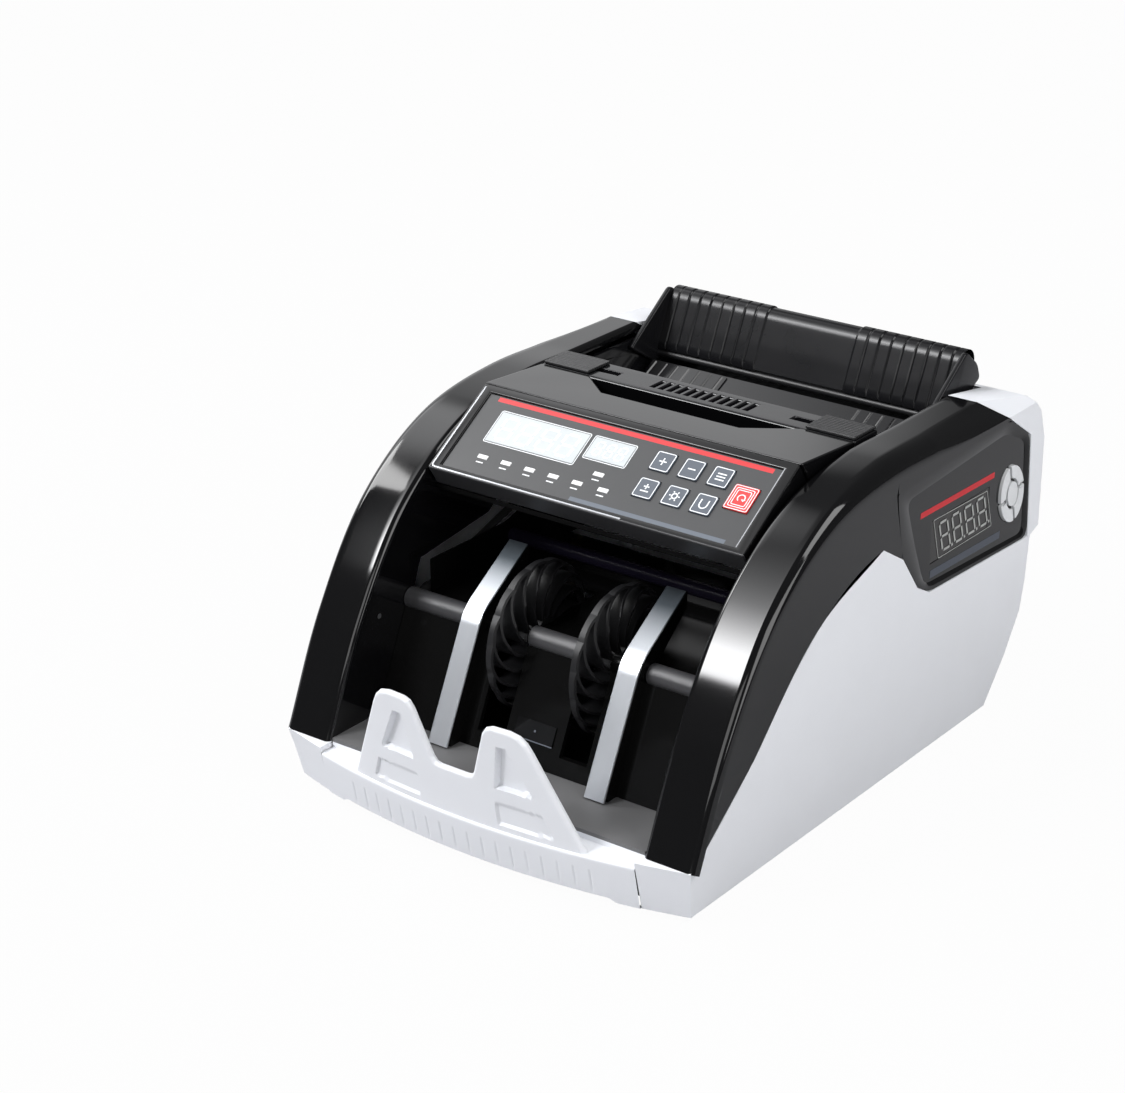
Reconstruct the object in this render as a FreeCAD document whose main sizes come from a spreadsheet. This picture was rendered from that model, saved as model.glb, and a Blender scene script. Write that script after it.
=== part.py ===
import FreeCAD, Part
import Sketcher
import math
import os
import re

Vector = FreeCAD.Vector
Placement = FreeCAD.Placement
Rotation = FreeCAD.Rotation

# Driving dimensions in millimetres and degrees: X to the right, front towards -Y, Z up
SIZES = {
    # Casing
    "half_width": 128.0, "belly_tuck": 2.5, "base_tuck": 6.0, "pocket_half": 98.0,
    "wall": 3.0, "foot_height": 3.0, "belly_height": 30.0, "waist_height": 70.0,
    "top_height": 184.0, "crease_drop": 11.0, "crease_run": 11.0, "joint_gap": 0.2,
    # Side outline of the cheeks, from the foot to the flat top
    "arch_foot_y": -151.5, "arch_foot_z": 30.5, "arch_knee_y": -125.3, "arch_knee_z": 88.0,
    "arch_brow_y": -86.8, "arch_brow_drop": 42.0, "arch_shoulder_y": -36.8, "arch_shoulder_drop": 10.0,
    "arch_top_y": 15.2, "cheek_rear_y": 117.2,
    # Seam between the black cheeks and the white side panels
    "seam_start_y": -143.8, "seam_start_z": 35.0, "seam_low_y": -108.8, "seam_low_z": 66.0,
    "seam_mid_y": -45.8, "seam_mid_z": 121.0, "seam_peak_y": 9.2, "seam_peak_z": 140.5,
    "pod_front_y": 29.2, "pod_front_z": 128.5, "pod_chin_y": 45.2, "pod_chin_z": 107.5,
    "pod_heel_y": 58.2, "pod_heel_z": 100.5, "pod_rear_y": 163.2, "pod_rear_z": 96.0,
    "pod_brow_y": 159.2, "pod_brow_drop": 28.0, "pod_top_y": 136.2, "pod_top_drop": 13.0,
    "pod_tip_y": 19.2, "pod_tip_drop": 18.0, "pod_thickness": 4.0, "pod_recess": 2.0,
    # Base and rear outline
    "base_front_y": -143.8, "base_rear_y": 137.2, "rear_low_y": 161.9, "rear_low_z": 52.5,
    "rear_mid_y": 166.2, "rear_wall_y": 175.2, "rear_wall_drop": 34.0,
    "rear_brow_y": 169.2, "rear_brow_drop": 17.0, "rear_top_y": 159.2, "rear_top_drop": 7.0,
    # Bowed front lip and note stop
    "bow_depth": 18.5, "bow_front_y": -169.3, "bow_lean": 6.0, "lip_height": 27.5,
    "lip_back_y": -142.8, "lip_shelf_y": -148.8,
    "stop_inner": 11.8, "stop_outer": 71.5, "stop_top_inner": 20.3, "stop_top_outer": 48.0,
    "stop_shoulder": 52.0, "stop_height": 60.0, "stop_bar": 27.0, "stop_lean": 10.0,
    "stop_thickness": 4.5, "stop_setback": 2.0,
    # Stacker pocket
    "floor_height": 32.3, "floor_thickness": 2.0, "strip_foot_y": -120.4, "strip_foot_z": 37.9,
    "strip_bend_y": -92.4, "strip_bend_z": 96.4, "strip_end_y": -54.8, "strip_end_z": 121.0,
    "strip_inner": 43.1, "strip_outer": 55.3, "strip_thickness": 1.0, "back_depth": 8.0,
    "back_thickness": 3.0, "nose_radius": 5.5, "nose_drop": 5.0, "chute_thickness": 2.0, "chute_rise": 4.0,
    "ceiling_front_y": -62.3, "ceiling_front_drop": 41.6,
    "ceiling_rear_y": -18.8, "ceiling_rear_drop": 64.0, "ceiling_thickness": 2.5, "slot_room": 1.5,
    # Control panel, in its own tilted frame
    "panel_y": -65.9, "panel_drop": 26.2, "panel_tilt": 33.0, "face_margin": 6.7, "face_height": 49.0,
    "face_thickness": 1.5, "bezel_room": 1.0, "bezel_below": 4.0, "bezel_above": 5.0,
    "bezel_depth": 12.0, "bezel_rim": 1.0, "board_depth": 8.0, "board_thickness": 1.6,
    "key_width": 11.3, "key_height": 11.8, "key_row_low": 18.2, "key_row_high": 35.6,
    "key_proud": 0.8, "key_body": 4.3, "key_round": 1.0, "key_clearance": 0.25,
    "red_key_row": 27.0, "red_key_width": 13.9, "red_key_height": 15.0,
    "main_display_low": 21.0, "small_display_low": 27.0, "display_top": 40.2, "display_proud": 0.2,
    "face_nominal": 90.3, "key_column_at": 26.9, "key_pitch_at": 17.2, "red_key_at": 78.2,
    "main_left_at": -76.5, "main_right_at": -20.7, "small_left_at": -16.8, "small_right_at": 7.7,
    "lamp_first_at": -71.0, "lamp_pitch_at": 15.0, "lamp_upper_at": -2.7,
    "lamp_width": 6.0, "lamp_height": 2.4, "lamp_row": 11.0, "lamp_upper_row": 19.1,
    # Top cover and carry handle
    "cover_rear_y": 28.2, "cover_rise": 1.0, "cover_depth": 24.0, "recess_rear_half": 67.0,
    "recess_front_half": 45.0, "recess_front_y": 4.2, "recess_depth": 17.0, "recess_lap": 1.0,
    "handle_rear_y": 50.2, "handle_rise": 0.8, "handle_thickness": 6.8, "vent_count": 12,
    "vent_pitch": 5.3, "vent_width": 2.2, "vent_front_y": 33.7, "vent_length": 11.0,
    # Sliding note guides
    "guide_length": 29.0, "guide_thickness": 1.6, "guide_travel": 30.0, "guide_stem": 4.0,
    "guide_stem_y": 39.2, "guide_room": 0.3, "guide_end_room": 0.5, "guide_blade_rear": 63.2,
    "guide_blade_drop": 34.0, "guide_blade_thickness": 2.0,
    # Hopper
    "ramp_front_y": 61.2, "ramp_front_drop": 53.0, "ramp_rear_y": 124.2, "ramp_rear_drop": 22.0,
    "ramp_room": 1.0, "ramp_thickness": 3.0, "ramp_drop": 3.36, "tray_wall_thickness": 2.5,
    "tray_wall_rear": 138.2, "tray_wall_drop": 8.0, "wing_slot_front": 95.2,
    "flap_axis_y": 131.2, "flap_axis_drop": 20.0, "flap_pin_radius": 2.0, "flap_top_y": 144.7,
    "flap_top_rise": 12.0, "flap_thickness": 2.5, "flap_roll": 3.4, "flap_foot": 1.5,
    "wing_room": 0.8, "wing_thickness": 3.2, "wing_front_y": 104.2, "wing_front_drop": 11.0,
    "wing_tip_y": 142.7, "wing_tip_rise": 16.0, "wing_rear_y": 158.7, "wing_rear_drop": 3.0,
    "wing_boss": 5.0, "wing_boss_drop": 4.0, "sill_front_drop": 12.0, "sill_rear_drop": 2.0,
    # Drive: shaft places as seen from the side
    "shaft_radius": 3.0, "running_fit": 0.05, "bush_radius": 5.5, "bush_thickness": 4.0,
    "frame_room": 8.0, "frame_thickness": 2.0, "frame_edge": 12.0,
    "frame_toe": 10.0, "frame_notch": 4.5, "frame_step": 4.0, "overshoot": 1.0,
    "stacker_y": -70.8, "stacker_z": 82.0,
    "wheel_radius": 40.0, "wheel_hub": 11.0, "wheel_x": 25.8, "wheel_width": 14.0,
    "vane_count": 16, "vane_thickness": 1.2, "vane_root": 1.5, "vane_bend_out": 27.0, "vane_bend_drop": 18.9,
    "vane_tip_out": 6.8, "vane_tip_drop": 38.4, "vane_shoulder": 30.0, "vane_tip_width": 3.0,
    "feed_y": 45.2, "feed_drop": 17.0,
    "feed_radius": 16.0, "feed_roller_x": 28.0, "feed_roller_width": 18.0, "idler_y": 37.2,
    "idler_rise": 27.5, "idler_radius": 11.0, "pickup_radius": 16.0, "pickup_y": 89.8, "pickup_proud": 1.0,
    "motor_y": 3.2, "motor_z": 46.0, "motor_radius": 21.0, "motor_length": 48.0,
    "pulley_small": 8.0, "pulley_large": 12.0, "pulley_pickup": 5.5, "rim_thickness": 0.8, "rim_place": 0.7,
    "belt_width": 4.5, "belt_thickness": 1.2, "belt_gap": 0.35, "belt_lane": 1.5,
    "lamp_tube_radius": 4.0, "lamp_tube_y": -8.8, "lamp_tube_drop": 20.0,
    # Boards, supply, inlet, switch, feet and screws
    "standoff_radius": 4.0, "standoff_height": 10.0, "main_board_front": 31.2,
    "main_board_rear": 121.2, "main_board_half": 74.0, "supply_room": 6.0, "supply_width": 44.0,
    "supply_front": -54.8, "supply_rear": 15.2, "supply_height": 44.0,
    "inlet_x": -70.0, "inlet_z": 119.0, "inlet_width": 28.0, "inlet_height": 22.0,
    "inlet_depth": 20.0, "inlet_pin_width": 2.0, "inlet_pin_height": 4.0, "inlet_pin_pitch": 7.0,
    "switch_x": -36.0, "switch_width": 13.0, "switch_height": 20.0, "switch_proud": 2.0,
    "switch_flat": 0.2, "switch_clearance": 1.0, "switch_pivot_radius": 1.5, "switch_wall": 1.5,
    "foot_radius": 9.0, "foot_inset": 26.0, "foot_front_y": -114.8, "foot_rear_y": 107.2,
    "screw_radius": 3.2, "screw_head": 1.6, "screw_inset": 18.0, "screw_low": 106.0, "screw_drop": 8.0,
    # Side pod display and round key pad
    "pod_window_front": 60.7, "pod_window_rear": 119.7, "pod_window_low": 115.0,
    "pod_window_high": 138.0, "pad_y": 143.6, "pad_z": 127.0, "pad_radius": 16.6, "pad_squeeze": 0.75,
    "pad_lean": 14.0, "pad_inner": 9.0, "pad_center": 7.2, "pad_split": 2.0, "pad_proud": 1.6,
    "pad_body": 5.0, "pad_web": 0.8, "pad_web_room": 0.6,
}

# Sizes that follow from those: heights hang from the top, the pocket's pieces from its width
FOLLOWING = {
    "belly_half": "half_width - belly_tuck", "base_half": "half_width - base_tuck",
    "crease_height": "top_height - crease_drop", "arch_brow_z": "top_height - arch_brow_drop",
    "arch_shoulder_z": "top_height - arch_shoulder_drop", "pod_top_z": "top_height - pod_top_drop",
    "pod_brow_z": "top_height - pod_brow_drop", "pod_tip_z": "top_height - pod_tip_drop",
    "rear_wall_top": "top_height - rear_wall_drop", "rear_brow_z": "top_height - rear_brow_drop",
    "rear_top_z": "top_height - rear_top_drop",
    "ceiling_front_z": "top_height - ceiling_front_drop", "ceiling_rear_z": "top_height - ceiling_rear_drop",
    "panel_z": "top_height - panel_drop", "bezel_half": "pocket_half - bezel_room",
    "face_half": "pocket_half - bezel_room - face_margin",
    "face_scale": "(pocket_half - bezel_room - face_margin) / face_nominal",
    "key_column": "key_column_at * face_scale", "key_pitch": "key_pitch_at * face_scale",
    "red_key_x": "red_key_at * face_scale", "main_display_left": "main_left_at * face_scale",
    "main_display_right": "main_right_at * face_scale", "small_display_left": "small_left_at * face_scale",
    "small_display_right": "small_right_at * face_scale", "lamp_first": "lamp_first_at * face_scale",
    "lamp_pitch": "lamp_pitch_at * face_scale", "lamp_upper_x": "lamp_upper_at * face_scale",
    "cover_rear_z": "top_height + cover_rise", "cover_bottom": "top_height - cover_depth",
    "recess_floor": "top_height - recess_depth", "handle_top": "top_height + handle_rise",
    "guide_outer": "pocket_half - bezel_room", "guide_inner": "pocket_half - bezel_room - guide_length",
    "guide_blade_bottom": "top_height - guide_blade_drop",
    "ramp_front_z": "top_height - ramp_front_drop", "ramp_rear_z": "top_height - ramp_rear_drop",
    "tray_wall_inner": "pocket_half - bezel_room",
    "tray_wall_outer": "pocket_half - bezel_room + tray_wall_thickness",
    "tray_wall_top": "top_height - tray_wall_drop",
    "wing_outer": "pocket_half - bezel_room - wing_room",
    "wing_inner": "pocket_half - bezel_room - wing_room - wing_thickness",
    "ramp_half": "pocket_half - bezel_room - wing_room - wing_thickness - ramp_room",
    "flap_axis_z": "top_height - flap_axis_drop", "flap_top_z": "top_height + flap_top_rise",
    "wing_front_z": "top_height - wing_front_drop", "wing_tip_z": "top_height + wing_tip_rise",
    "wing_rear_z": "top_height - wing_rear_drop",
    "frame_half": "pocket_half - frame_room", "feed_z": "top_height - ramp_front_drop - feed_drop",
    "idler_z": "top_height - ramp_front_drop - feed_drop + idler_rise",
    "supply_right": "pocket_half - frame_room - supply_room",
    "supply_left": "pocket_half - frame_room - supply_room - supply_width",
    "lamp_tube_z": "top_height - ceiling_rear_drop - lamp_tube_drop",
    "foot_x": "half_width - base_tuck - foot_inset", "screw_x": "half_width - screw_inset",
    "screw_high": "top_height - rear_wall_drop - screw_drop",
}

document = FreeCAD.newDocument("banknote_counter")
sheet = document.addObject("Spreadsheet::Sheet", "Sizes")
for row, (alias, number) in enumerate(SIZES.items(), start=1):
    sheet.set(f"A{row}", alias)
    sheet.set(f"B{row}", str(number))
    sheet.setAlias(f"B{row}", alias)
for row, (alias, formula) in enumerate(FOLLOWING.items(), start=len(SIZES) + 1):
    sheet.set(f"A{row}", alias)
    sheet.set(f"B{row}", "=" + formula)
    sheet.setAlias(f"B{row}", alias)
    document.recompute()

WORD = re.compile(r"[a-z][a-z_0-9]*")
ALIASES = set(SIZES) | set(FOLLOWING)
NODES = {}


def cells(text):
    """An expression in the names of sizes, led to the sheet's cells."""
    return WORD.sub(lambda found: "Sizes." * (found.group() in ALIASES) + found.group(), str(text))


def mm(text):
    """The present value of such an expression."""
    return float(sheet.evalExpression(cells(text)))


def bind(item, prop, text):
    """Tie a property of an object to an expression in the sheet's sizes."""
    item.setExpression(prop, cells(text))


def node(name, item):
    """Keep an object as the sub-part of that name."""
    item.Label = name
    NODES[name] = item
    return item


# Building blocks

def around(middle, span, room):
    """The pair of expressions a span wide about a middle, with room added at both ends."""
    return f"{middle} - {span} / 2 - {room}", f"{middle} + {span} / 2 + {room}"


def past(span):
    """A pair of expressions drawn out a little at both ends, for a cut right through."""
    return f"{span[0]} - overshoot", f"{span[1]} + overshoot"


def box(label, x, y, z):
    """A block between pairs of expressions along X, Y and Z."""
    item = document.addObject("Part::Box", label)
    for prop, axis, (low, high) in (("Length", "x", x), ("Width", "y", y), ("Height", "z", z)):
        bind(item, prop, f"({high}) - ({low})")
        bind(item, "Placement.Base." + axis, low)
    return item


def rod(label, radius, x, y, z):
    """A round bar along X."""
    item = document.addObject("Part::Cylinder", label)
    item.Placement = Placement(Vector(), Rotation(Vector(0, 1, 0), 90))
    bind(item, "Radius", radius)
    bind(item, "Height", f"({x[1]}) - ({x[0]})")
    bind(item, "Placement.Base.x", x[0])
    bind(item, "Placement.Base.y", y)
    bind(item, "Placement.Base.z", z)
    return item


def post(label, radius, x, y, z):
    """A round bar along Z."""
    item = document.addObject("Part::Cylinder", label)
    bind(item, "Radius", radius)
    bind(item, "Height", f"({z[1]}) - ({z[0]})")
    bind(item, "Placement.Base.x", x)
    bind(item, "Placement.Base.y", y)
    bind(item, "Placement.Base.z", z[0])
    return item


def prism(label, outline, x):
    """A straight run along X of an outline of (y, z) corners, each held by the sheet."""
    sketch = document.addObject("Sketcher::SketchObject", label + "_outline")
    sketch.Placement = Placement(Vector(), Rotation(Vector(1, 1, 1), 120))
    bind(sketch, "Placement.Base.x", x[0])
    corners = [Vector(mm(y), mm(z), 0) for y, z in outline]
    count = len(corners)
    for index in range(count):
        sketch.addGeometry(Part.LineSegment(corners[index], corners[(index + 1) % count]))
    for index in range(count):
        sketch.addConstraint(Sketcher.Constraint("Coincident", index, 2, (index + 1) % count, 1))
    for index, place in enumerate(outline):
        for kind, text in zip(("DistanceX", "DistanceY"), place):
            held = sketch.addConstraint(Sketcher.Constraint(kind, -1, 1, index, 1, mm(text)))
            bind(sketch, f"Constraints[{held}]", text)
    run = document.addObject("Part::Extrusion", label)
    run.Base = sketch
    run.DirMode = "Normal"
    run.Solid = True
    bind(run, "LengthFwd", f"({x[1]}) - ({x[0]})")
    return run


def fuse(label, parts):
    """Several overlapping shapes made one solid."""
    item = document.addObject("Part::MultiFuse", label)
    item.Shapes = parts
    item.Refine = True
    return item


def group(label, parts):
    """Several separate solids kept as one set."""
    item = document.addObject("Part::Compound", label)
    item.Links = parts
    return item


def cut(label, base, tools):
    """A shape with other shapes taken out of it."""
    item = document.addObject("Part::Cut", label)
    item.Base = base
    item.Tool = tools[0] if len(tools) == 1 else fuse(label + "_tools", tools)
    return item


def mirrored(label, item):
    """The same shape on the other side of the middle plane."""
    twin = document.addObject("Part::Mirroring", label)
    twin.Source = item
    twin.Base = Vector(0, 0, 0)
    twin.Normal = Vector(1, 0, 0)
    return twin


def panel_place(v, n):
    """Expressions for the Y and Z of a point of the panel, v up its slope and n out of it."""
    y = f"panel_y + ({v}) * cos(panel_tilt) - ({n}) * sin(panel_tilt)"
    z = f"panel_z + ({v}) * sin(panel_tilt) + ({n}) * cos(panel_tilt)"
    return y, z


def set_on_panel(item, x, v, n):
    """Lay an object's own XY plane on the tilted panel at a point of it."""
    y, z = panel_place(v, n)
    item.Placement = Placement(Vector(), Rotation(Vector(1, 0, 0), mm("panel_tilt")))
    bind(item, "Placement.Rotation.Angle", "panel_tilt")
    bind(item, "Placement.Base.x", x)
    bind(item, "Placement.Base.y", y)
    bind(item, "Placement.Base.z", z)


def panel_box(label, x, v, n):
    """A block between pairs of expressions across, up and out of the panel."""
    item = document.addObject("Part::Box", label)
    for prop, (low, high) in (("Length", x), ("Width", v), ("Height", n)):
        bind(item, prop, f"({high}) - ({low})")
    set_on_panel(item, x[0], v[0], n[0])
    return item


def solid(label, shape):
    """A shape worked out from the sheet's sizes, kept as an object."""
    item = document.addObject("Part::Feature", label)
    item.Shape = shape
    return item


# Outlines of the casing

def at(y, z):
    """A point of the side view."""
    return Vector(0, mm(y), mm(z))


def named(stem):
    """The side-view point whose two sizes share a stem."""
    return at(stem + "_y", stem + "_z")


def smooth(points):
    """A curve through points of the side view."""
    curve = Part.BSplineCurve()
    curve.interpolate(points)
    return curve.toShape()


def chain(points):
    """Straight edges from point to point."""
    return [Part.LineSegment(first, last).toShape() for first, last in zip(points, points[1:])]


def run_of(edges, low, high):
    """A closed outline of the side view carried along X from low to high."""
    wire = Part.Wire(Part.__sortEdges__(edges))
    face = Part.Face(wire)
    face.translate(Vector(low, 0, 0))
    return face.extrude(Vector(high - low, 0, 0))


def arch_points(inset):
    """The cheek's side outline, moved in along its own normals."""
    stems = ("arch_foot", "arch_knee", "arch_brow", "arch_shoulder")
    points = [named(stem) for stem in stems] + [at("arch_top_y", "top_height")]
    moved = []
    for index, point in enumerate(points):
        ahead = points[min(index + 1, len(points) - 1)] - points[max(index - 1, 0)]
        normal = Vector(0, ahead.z, -ahead.y).normalize()
        moved.append(point + normal * inset)
    return moved


def front_section(inset):
    """The casing as seen from the front, drawn in by inset, carried along Y past both ends."""
    side = [(mm("base_half"), 0.0), (mm("base_half"), mm("foot_height")),
            (mm("belly_half"), mm("belly_height")), (mm("half_width"), mm("waist_height")),
            (mm("half_width"), mm("crease_height")), (mm("half_width - crease_run"), mm("top_height"))]
    right = [Vector(x - inset, mm("2 * bow_front_y"), z - inset * (z > mm("waist_height"))) for x, z in side]
    left = [Vector(-p.x, p.y, p.z) for p in reversed(right)]
    loop = right + left
    face = Part.Face(Part.makePolygon(loop + loop[:1]))
    return face.extrude(Vector(0, mm("4 * rear_wall_y"), 0))


def seam_edges():
    """The seam between black and white, from the front foot to the pod's heel."""
    rise = [named(stem) for stem in ("seam_start", "seam_low", "seam_mid", "seam_peak")]
    fall = [named(stem) for stem in ("seam_peak", "pod_front", "pod_chin", "pod_heel")]
    return [smooth(rise)] + chain(fall)


def pocket_wall():
    """The inner side wall of the stacker pocket, up to the arch and back to the throat."""
    top = at("arch_top_y", "top_height")
    rear = [top, at("arch_top_y", "seam_peak_z"), at("ceiling_rear_y", "ceiling_rear_z - nose_radius"),
            at("strip_bend_y + 3 * nose_radius", "strip_bend_z + 2 * nose_radius"),
            at("strip_bend_y + back_depth", "strip_bend_z - 2 * nose_radius"),
            at("strip_foot_y + back_depth", "arch_foot_z"), named("arch_foot")]
    edges = [smooth(arch_points(0))] + chain(rear)
    return run_of(edges, mm("pocket_half"), mm("pocket_half + wall"))


def cheek_shell(lower_edges, rear_points):
    """The skin over one cheek: arch, flat top and side, open to the inside."""
    top = [at("arch_top_y", "top_height"), at("cheek_rear_y", "top_height")]
    outline = [smooth(arch_points(0))] + chain(top + rear_points) + lower_edges
    outline += chain([named("seam_start"), named("arch_foot")])
    outer = run_of(outline, mm("pocket_half"), mm("half_width"))
    inner_arch = arch_points(mm("wall"))
    end = mm("2 * rear_wall_y")
    inner_top = Vector(0, end, inner_arch[-1].z)
    inner_loop = [inner_arch[-1], inner_top, Vector(0, end, 0), Vector(0, inner_arch[0].y, 0), inner_arch[0]]
    inner = run_of([smooth(inner_arch)] + chain(inner_loop), 0.0, mm("half_width"))
    shell = outer.common(front_section(0.0)).cut(inner.common(front_section(mm("wall"))))
    return shell.fuse(pocket_wall().common(front_section(0.0))).removeSplitter()


def bow_outline(height, inset):
    """The front of the casing seen from above at a height: a bow between straight sides."""
    share = (height - mm("foot_height")) / mm("belly_height - foot_height")
    half = mm("base_half") + share * mm("belly_half - base_half") - inset
    front = mm("bow_front_y + bow_lean") - share * mm("bow_lean") + inset
    corner = front + mm("bow_depth")
    back = mm("lip_back_y")
    bow = Part.Arc(Vector(-half, corner, height), Vector(0, front, height), Vector(half, corner, height))
    sides = chain([Vector(half, corner, height), Vector(half, back, height),
                   Vector(-half, back, height), Vector(-half, corner, height)])
    return Part.Wire([bow.toShape()] + sides)


def bow_body(low, high, inset):
    """The bowed front between two heights, leaning outwards as it rises."""
    return Part.makeLoft([bow_outline(low, inset), bow_outline(high, inset)], True, True)


def block(x, y, z):
    """A plain block between pairs of numbers."""
    return Part.makeBox(x[1] - x[0], y[1] - y[0], z[1] - z[0], Vector(x[0], y[0], z[0]))


def side_panel():
    """One white side: the skin below the seam and the bowed front corner beside the lip."""
    rear = [named("pod_heel"), named("pod_rear"), at("rear_mid_y", "pod_rear_z"), named("rear_low"),
            at("base_rear_y", "foot_height"), at("base_front_y", "foot_height"),
            named("arch_foot"), named("seam_start")]
    outer = run_of(seam_edges() + chain(rear), mm("pocket_half"), mm("half_width"))
    skin = outer.common(front_section(0.0)).cut(front_section(mm("wall")))
    gap = mm("joint_gap")
    front = block((mm("pocket_half") + gap, mm("half_width")), (mm("2 * bow_front_y"), mm("lip_back_y")),
                  (mm("foot_height"), mm("arch_foot_z")))
    corner = bow_body(mm("foot_height"), mm("arch_foot_z"), 0.0).common(front)
    return skin.fuse(corner).removeSplitter()


def front_lip():
    """The bowed lip between the two corners: front skin, shelf and the rail that carries the floor."""
    half = mm("pocket_half")
    reach = mm("2 * bow_front_y")
    lane = block((-half, half), (reach, mm("lip_back_y")), (0.0, mm("lip_height")))
    outer = bow_body(mm("foot_height"), mm("belly_height"), 0.0).common(lane)
    inside = block((-half + mm("wall"), half - mm("wall")), (reach, mm("lip_back_y")),
                   (0.0, mm("lip_height - wall")))
    hollow = bow_body(mm("foot_height"), mm("belly_height"), mm("wall")).common(inside)
    rail = block((-half, half), (mm("lip_shelf_y"), mm("lip_shelf_y + wall")),
                 (mm("lip_height - wall"), mm("floor_height - floor_thickness")))
    return outer.cut(hollow).fuse(rail).removeSplitter()


def note_stop():
    """Two leaning tabs and the bar between them, bent to the bow of the lip."""
    low = mm("lip_height")
    high = low + mm("stop_height")
    lean = math.tan(math.radians(mm("stop_lean"))) * mm("stop_height")
    half = mm("belly_half")

    def bow(depth, height, forward):
        front = mm("bow_front_y + stop_setback") + depth - forward
        corner = front + mm("bow_depth")
        return Part.Arc(Vector(-half, corner, height), Vector(0, front, height), Vector(half, corner, height))

    def sheet_outline(height, forward):
        near = bow(0.0, height, forward).toShape()
        far = bow(mm("stop_thickness"), height, forward).toShape()
        ends = []
        for first, last in zip(near.Vertexes, far.Vertexes):
            ends.append(Part.LineSegment(first.Point, last.Point).toShape())
        return Part.Wire(Part.__sortEdges__([near, far] + ends))

    bent = Part.makeLoft([sheet_outline(low, 0.0), sheet_outline(high, lean)], True, True)
    shoulder = low + mm("stop_shoulder")
    bar = low + mm("stop_bar")
    inner, outer = mm("stop_inner"), mm("stop_outer")
    top_inner, top_outer = mm("stop_top_inner"), mm("stop_top_outer")
    round_off = high - shoulder
    right = [(inner, bar), (top_inner, shoulder), (top_inner + round_off / 2, high),
             (top_outer - round_off, high), (top_outer, shoulder), (outer, low)]
    loop = right + [(-x, z) for x, z in reversed(right)]
    back = mm("2 * bow_front_y")
    front_view = Part.Face(Part.makePolygon([Vector(x, back, z) for x, z in loop + loop[:1]]))
    return bent.common(front_view.extrude(Vector(0, -back, 0)))


def rear_panel():
    """The white rear wall with its side returns and the two top corners beside the flap."""
    half = mm("half_width")
    gap = mm("joint_gap")
    spine = [at("base_rear_y", "foot_height"), named("rear_low"), at("rear_mid_y", "pod_rear_z"),
             at("rear_wall_y", "pod_rear_z + wall"), at("rear_wall_y", "rear_wall_top"),
             named("rear_brow"), named("rear_top")]
    front = [point - Vector(0, mm("wall"), 0) for point in reversed(spine)]
    loop = spine + front
    wall = run_of(chain(loop + loop[:1]), -half, half)
    low_part = block((-half, half), (0.0, mm("2 * rear_wall_y")), (0.0, mm("pod_rear_z")))
    lower = front_section(mm("wall") + gap).common(low_part)
    upper = block((-half, half), (0.0, mm("2 * rear_wall_y")), (mm("pod_rear_z"), mm("2 * top_height")))
    wall = wall.common(lower.fuse(upper))
    corner = [at("pod_rear_y + joint_gap", "pod_rear_z + joint_gap"),
              at("rear_mid_y", "pod_rear_z + joint_gap"), at("rear_wall_y", "pod_rear_z + wall"),
              at("rear_wall_y", "rear_wall_top"), named("rear_brow"), named("rear_top"),
              at("cheek_rear_y + joint_gap", "top_height"),
              at("pod_top_y + joint_gap", "pod_top_z"), at("pod_brow_y + joint_gap", "pod_brow_z")]
    side = run_of(chain(corner + corner[:1]), mm("tray_wall_outer + joint_gap"), half)
    hollow = run_of(chain(corner + corner[:1]), 0.0, half)
    hollow.translate(Vector(0, -mm("wall"), -mm("wall")))
    side = side.cut(hollow.common(front_section(mm("wall"))))
    shape = wall.fuse([side, side.mirror(Vector(), Vector(1, 0, 0))]).common(front_section(0.0))
    inlet = block((mm("inlet_x - inlet_width / 2"), mm("inlet_x + inlet_width / 2")),
                  (0.0, mm("2 * rear_wall_y")),
                  (mm("inlet_z - inlet_height / 2"), mm("inlet_z + inlet_height / 2")))
    reach, rise = mm("switch_width / 2 + switch_clearance"), mm("switch_height / 2 + 2 * switch_clearance")
    switch = block((mm("switch_x") - reach, mm("switch_x") + reach), (0.0, mm("2 * rear_wall_y")),
                   (mm("inlet_z") - rise, mm("inlet_z") + rise))
    return shape.cut(inlet).cut(switch).removeSplitter()


# White casing and black cheeks
pod_front_edge = chain([named("pod_tip"), named("pod_front"), named("seam_peak")])
rise_edge = [smooth([named(stem) for stem in ("seam_start", "seam_low", "seam_mid", "seam_peak")])]
right_rear = [named("pod_top"), named("pod_tip")]
left_rear = [named("pod_top"), named("pod_brow"), named("pod_rear"), named("pod_heel")]
node("cheek_right", solid("right_cheek", cheek_shell(pod_front_edge + rise_edge, right_rear)))
left_cheek = cheek_shell(seam_edges(), left_rear).mirror(Vector(), Vector(1, 0, 0))
node("cheek_left", solid("left_cheek", left_cheek))
right_side = solid("right_side", side_panel())
node("side_panel_right", right_side)
node("side_panel_left", mirrored("left_side", right_side))
node("rear_panel", solid("rear", rear_panel()))
node("front_lip", solid("lip", front_lip()))
node("note_stop", solid("stop", note_stop()))

pan_half = "base_half - wall - joint_gap"
pan = [box("pan_floor", (f"-({pan_half})", pan_half),
           ("lip_back_y + joint_gap", "base_rear_y - wall - joint_gap"),
           ("foot_height", "foot_height + wall"))]
for x in ("main_board_half - 2 * standoff_radius", "-(main_board_half - 2 * standoff_radius)"):
    for y in ("main_board_front + 2 * standoff_radius", "main_board_rear - 2 * standoff_radius"):
        pan.append(post(f"standoff_{len(pan)}", "standoff_radius", x, y,
                        ("foot_height + wall / 2", "foot_height + wall + standoff_height")))
node("base_pan", fuse("pan", pan))

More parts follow.
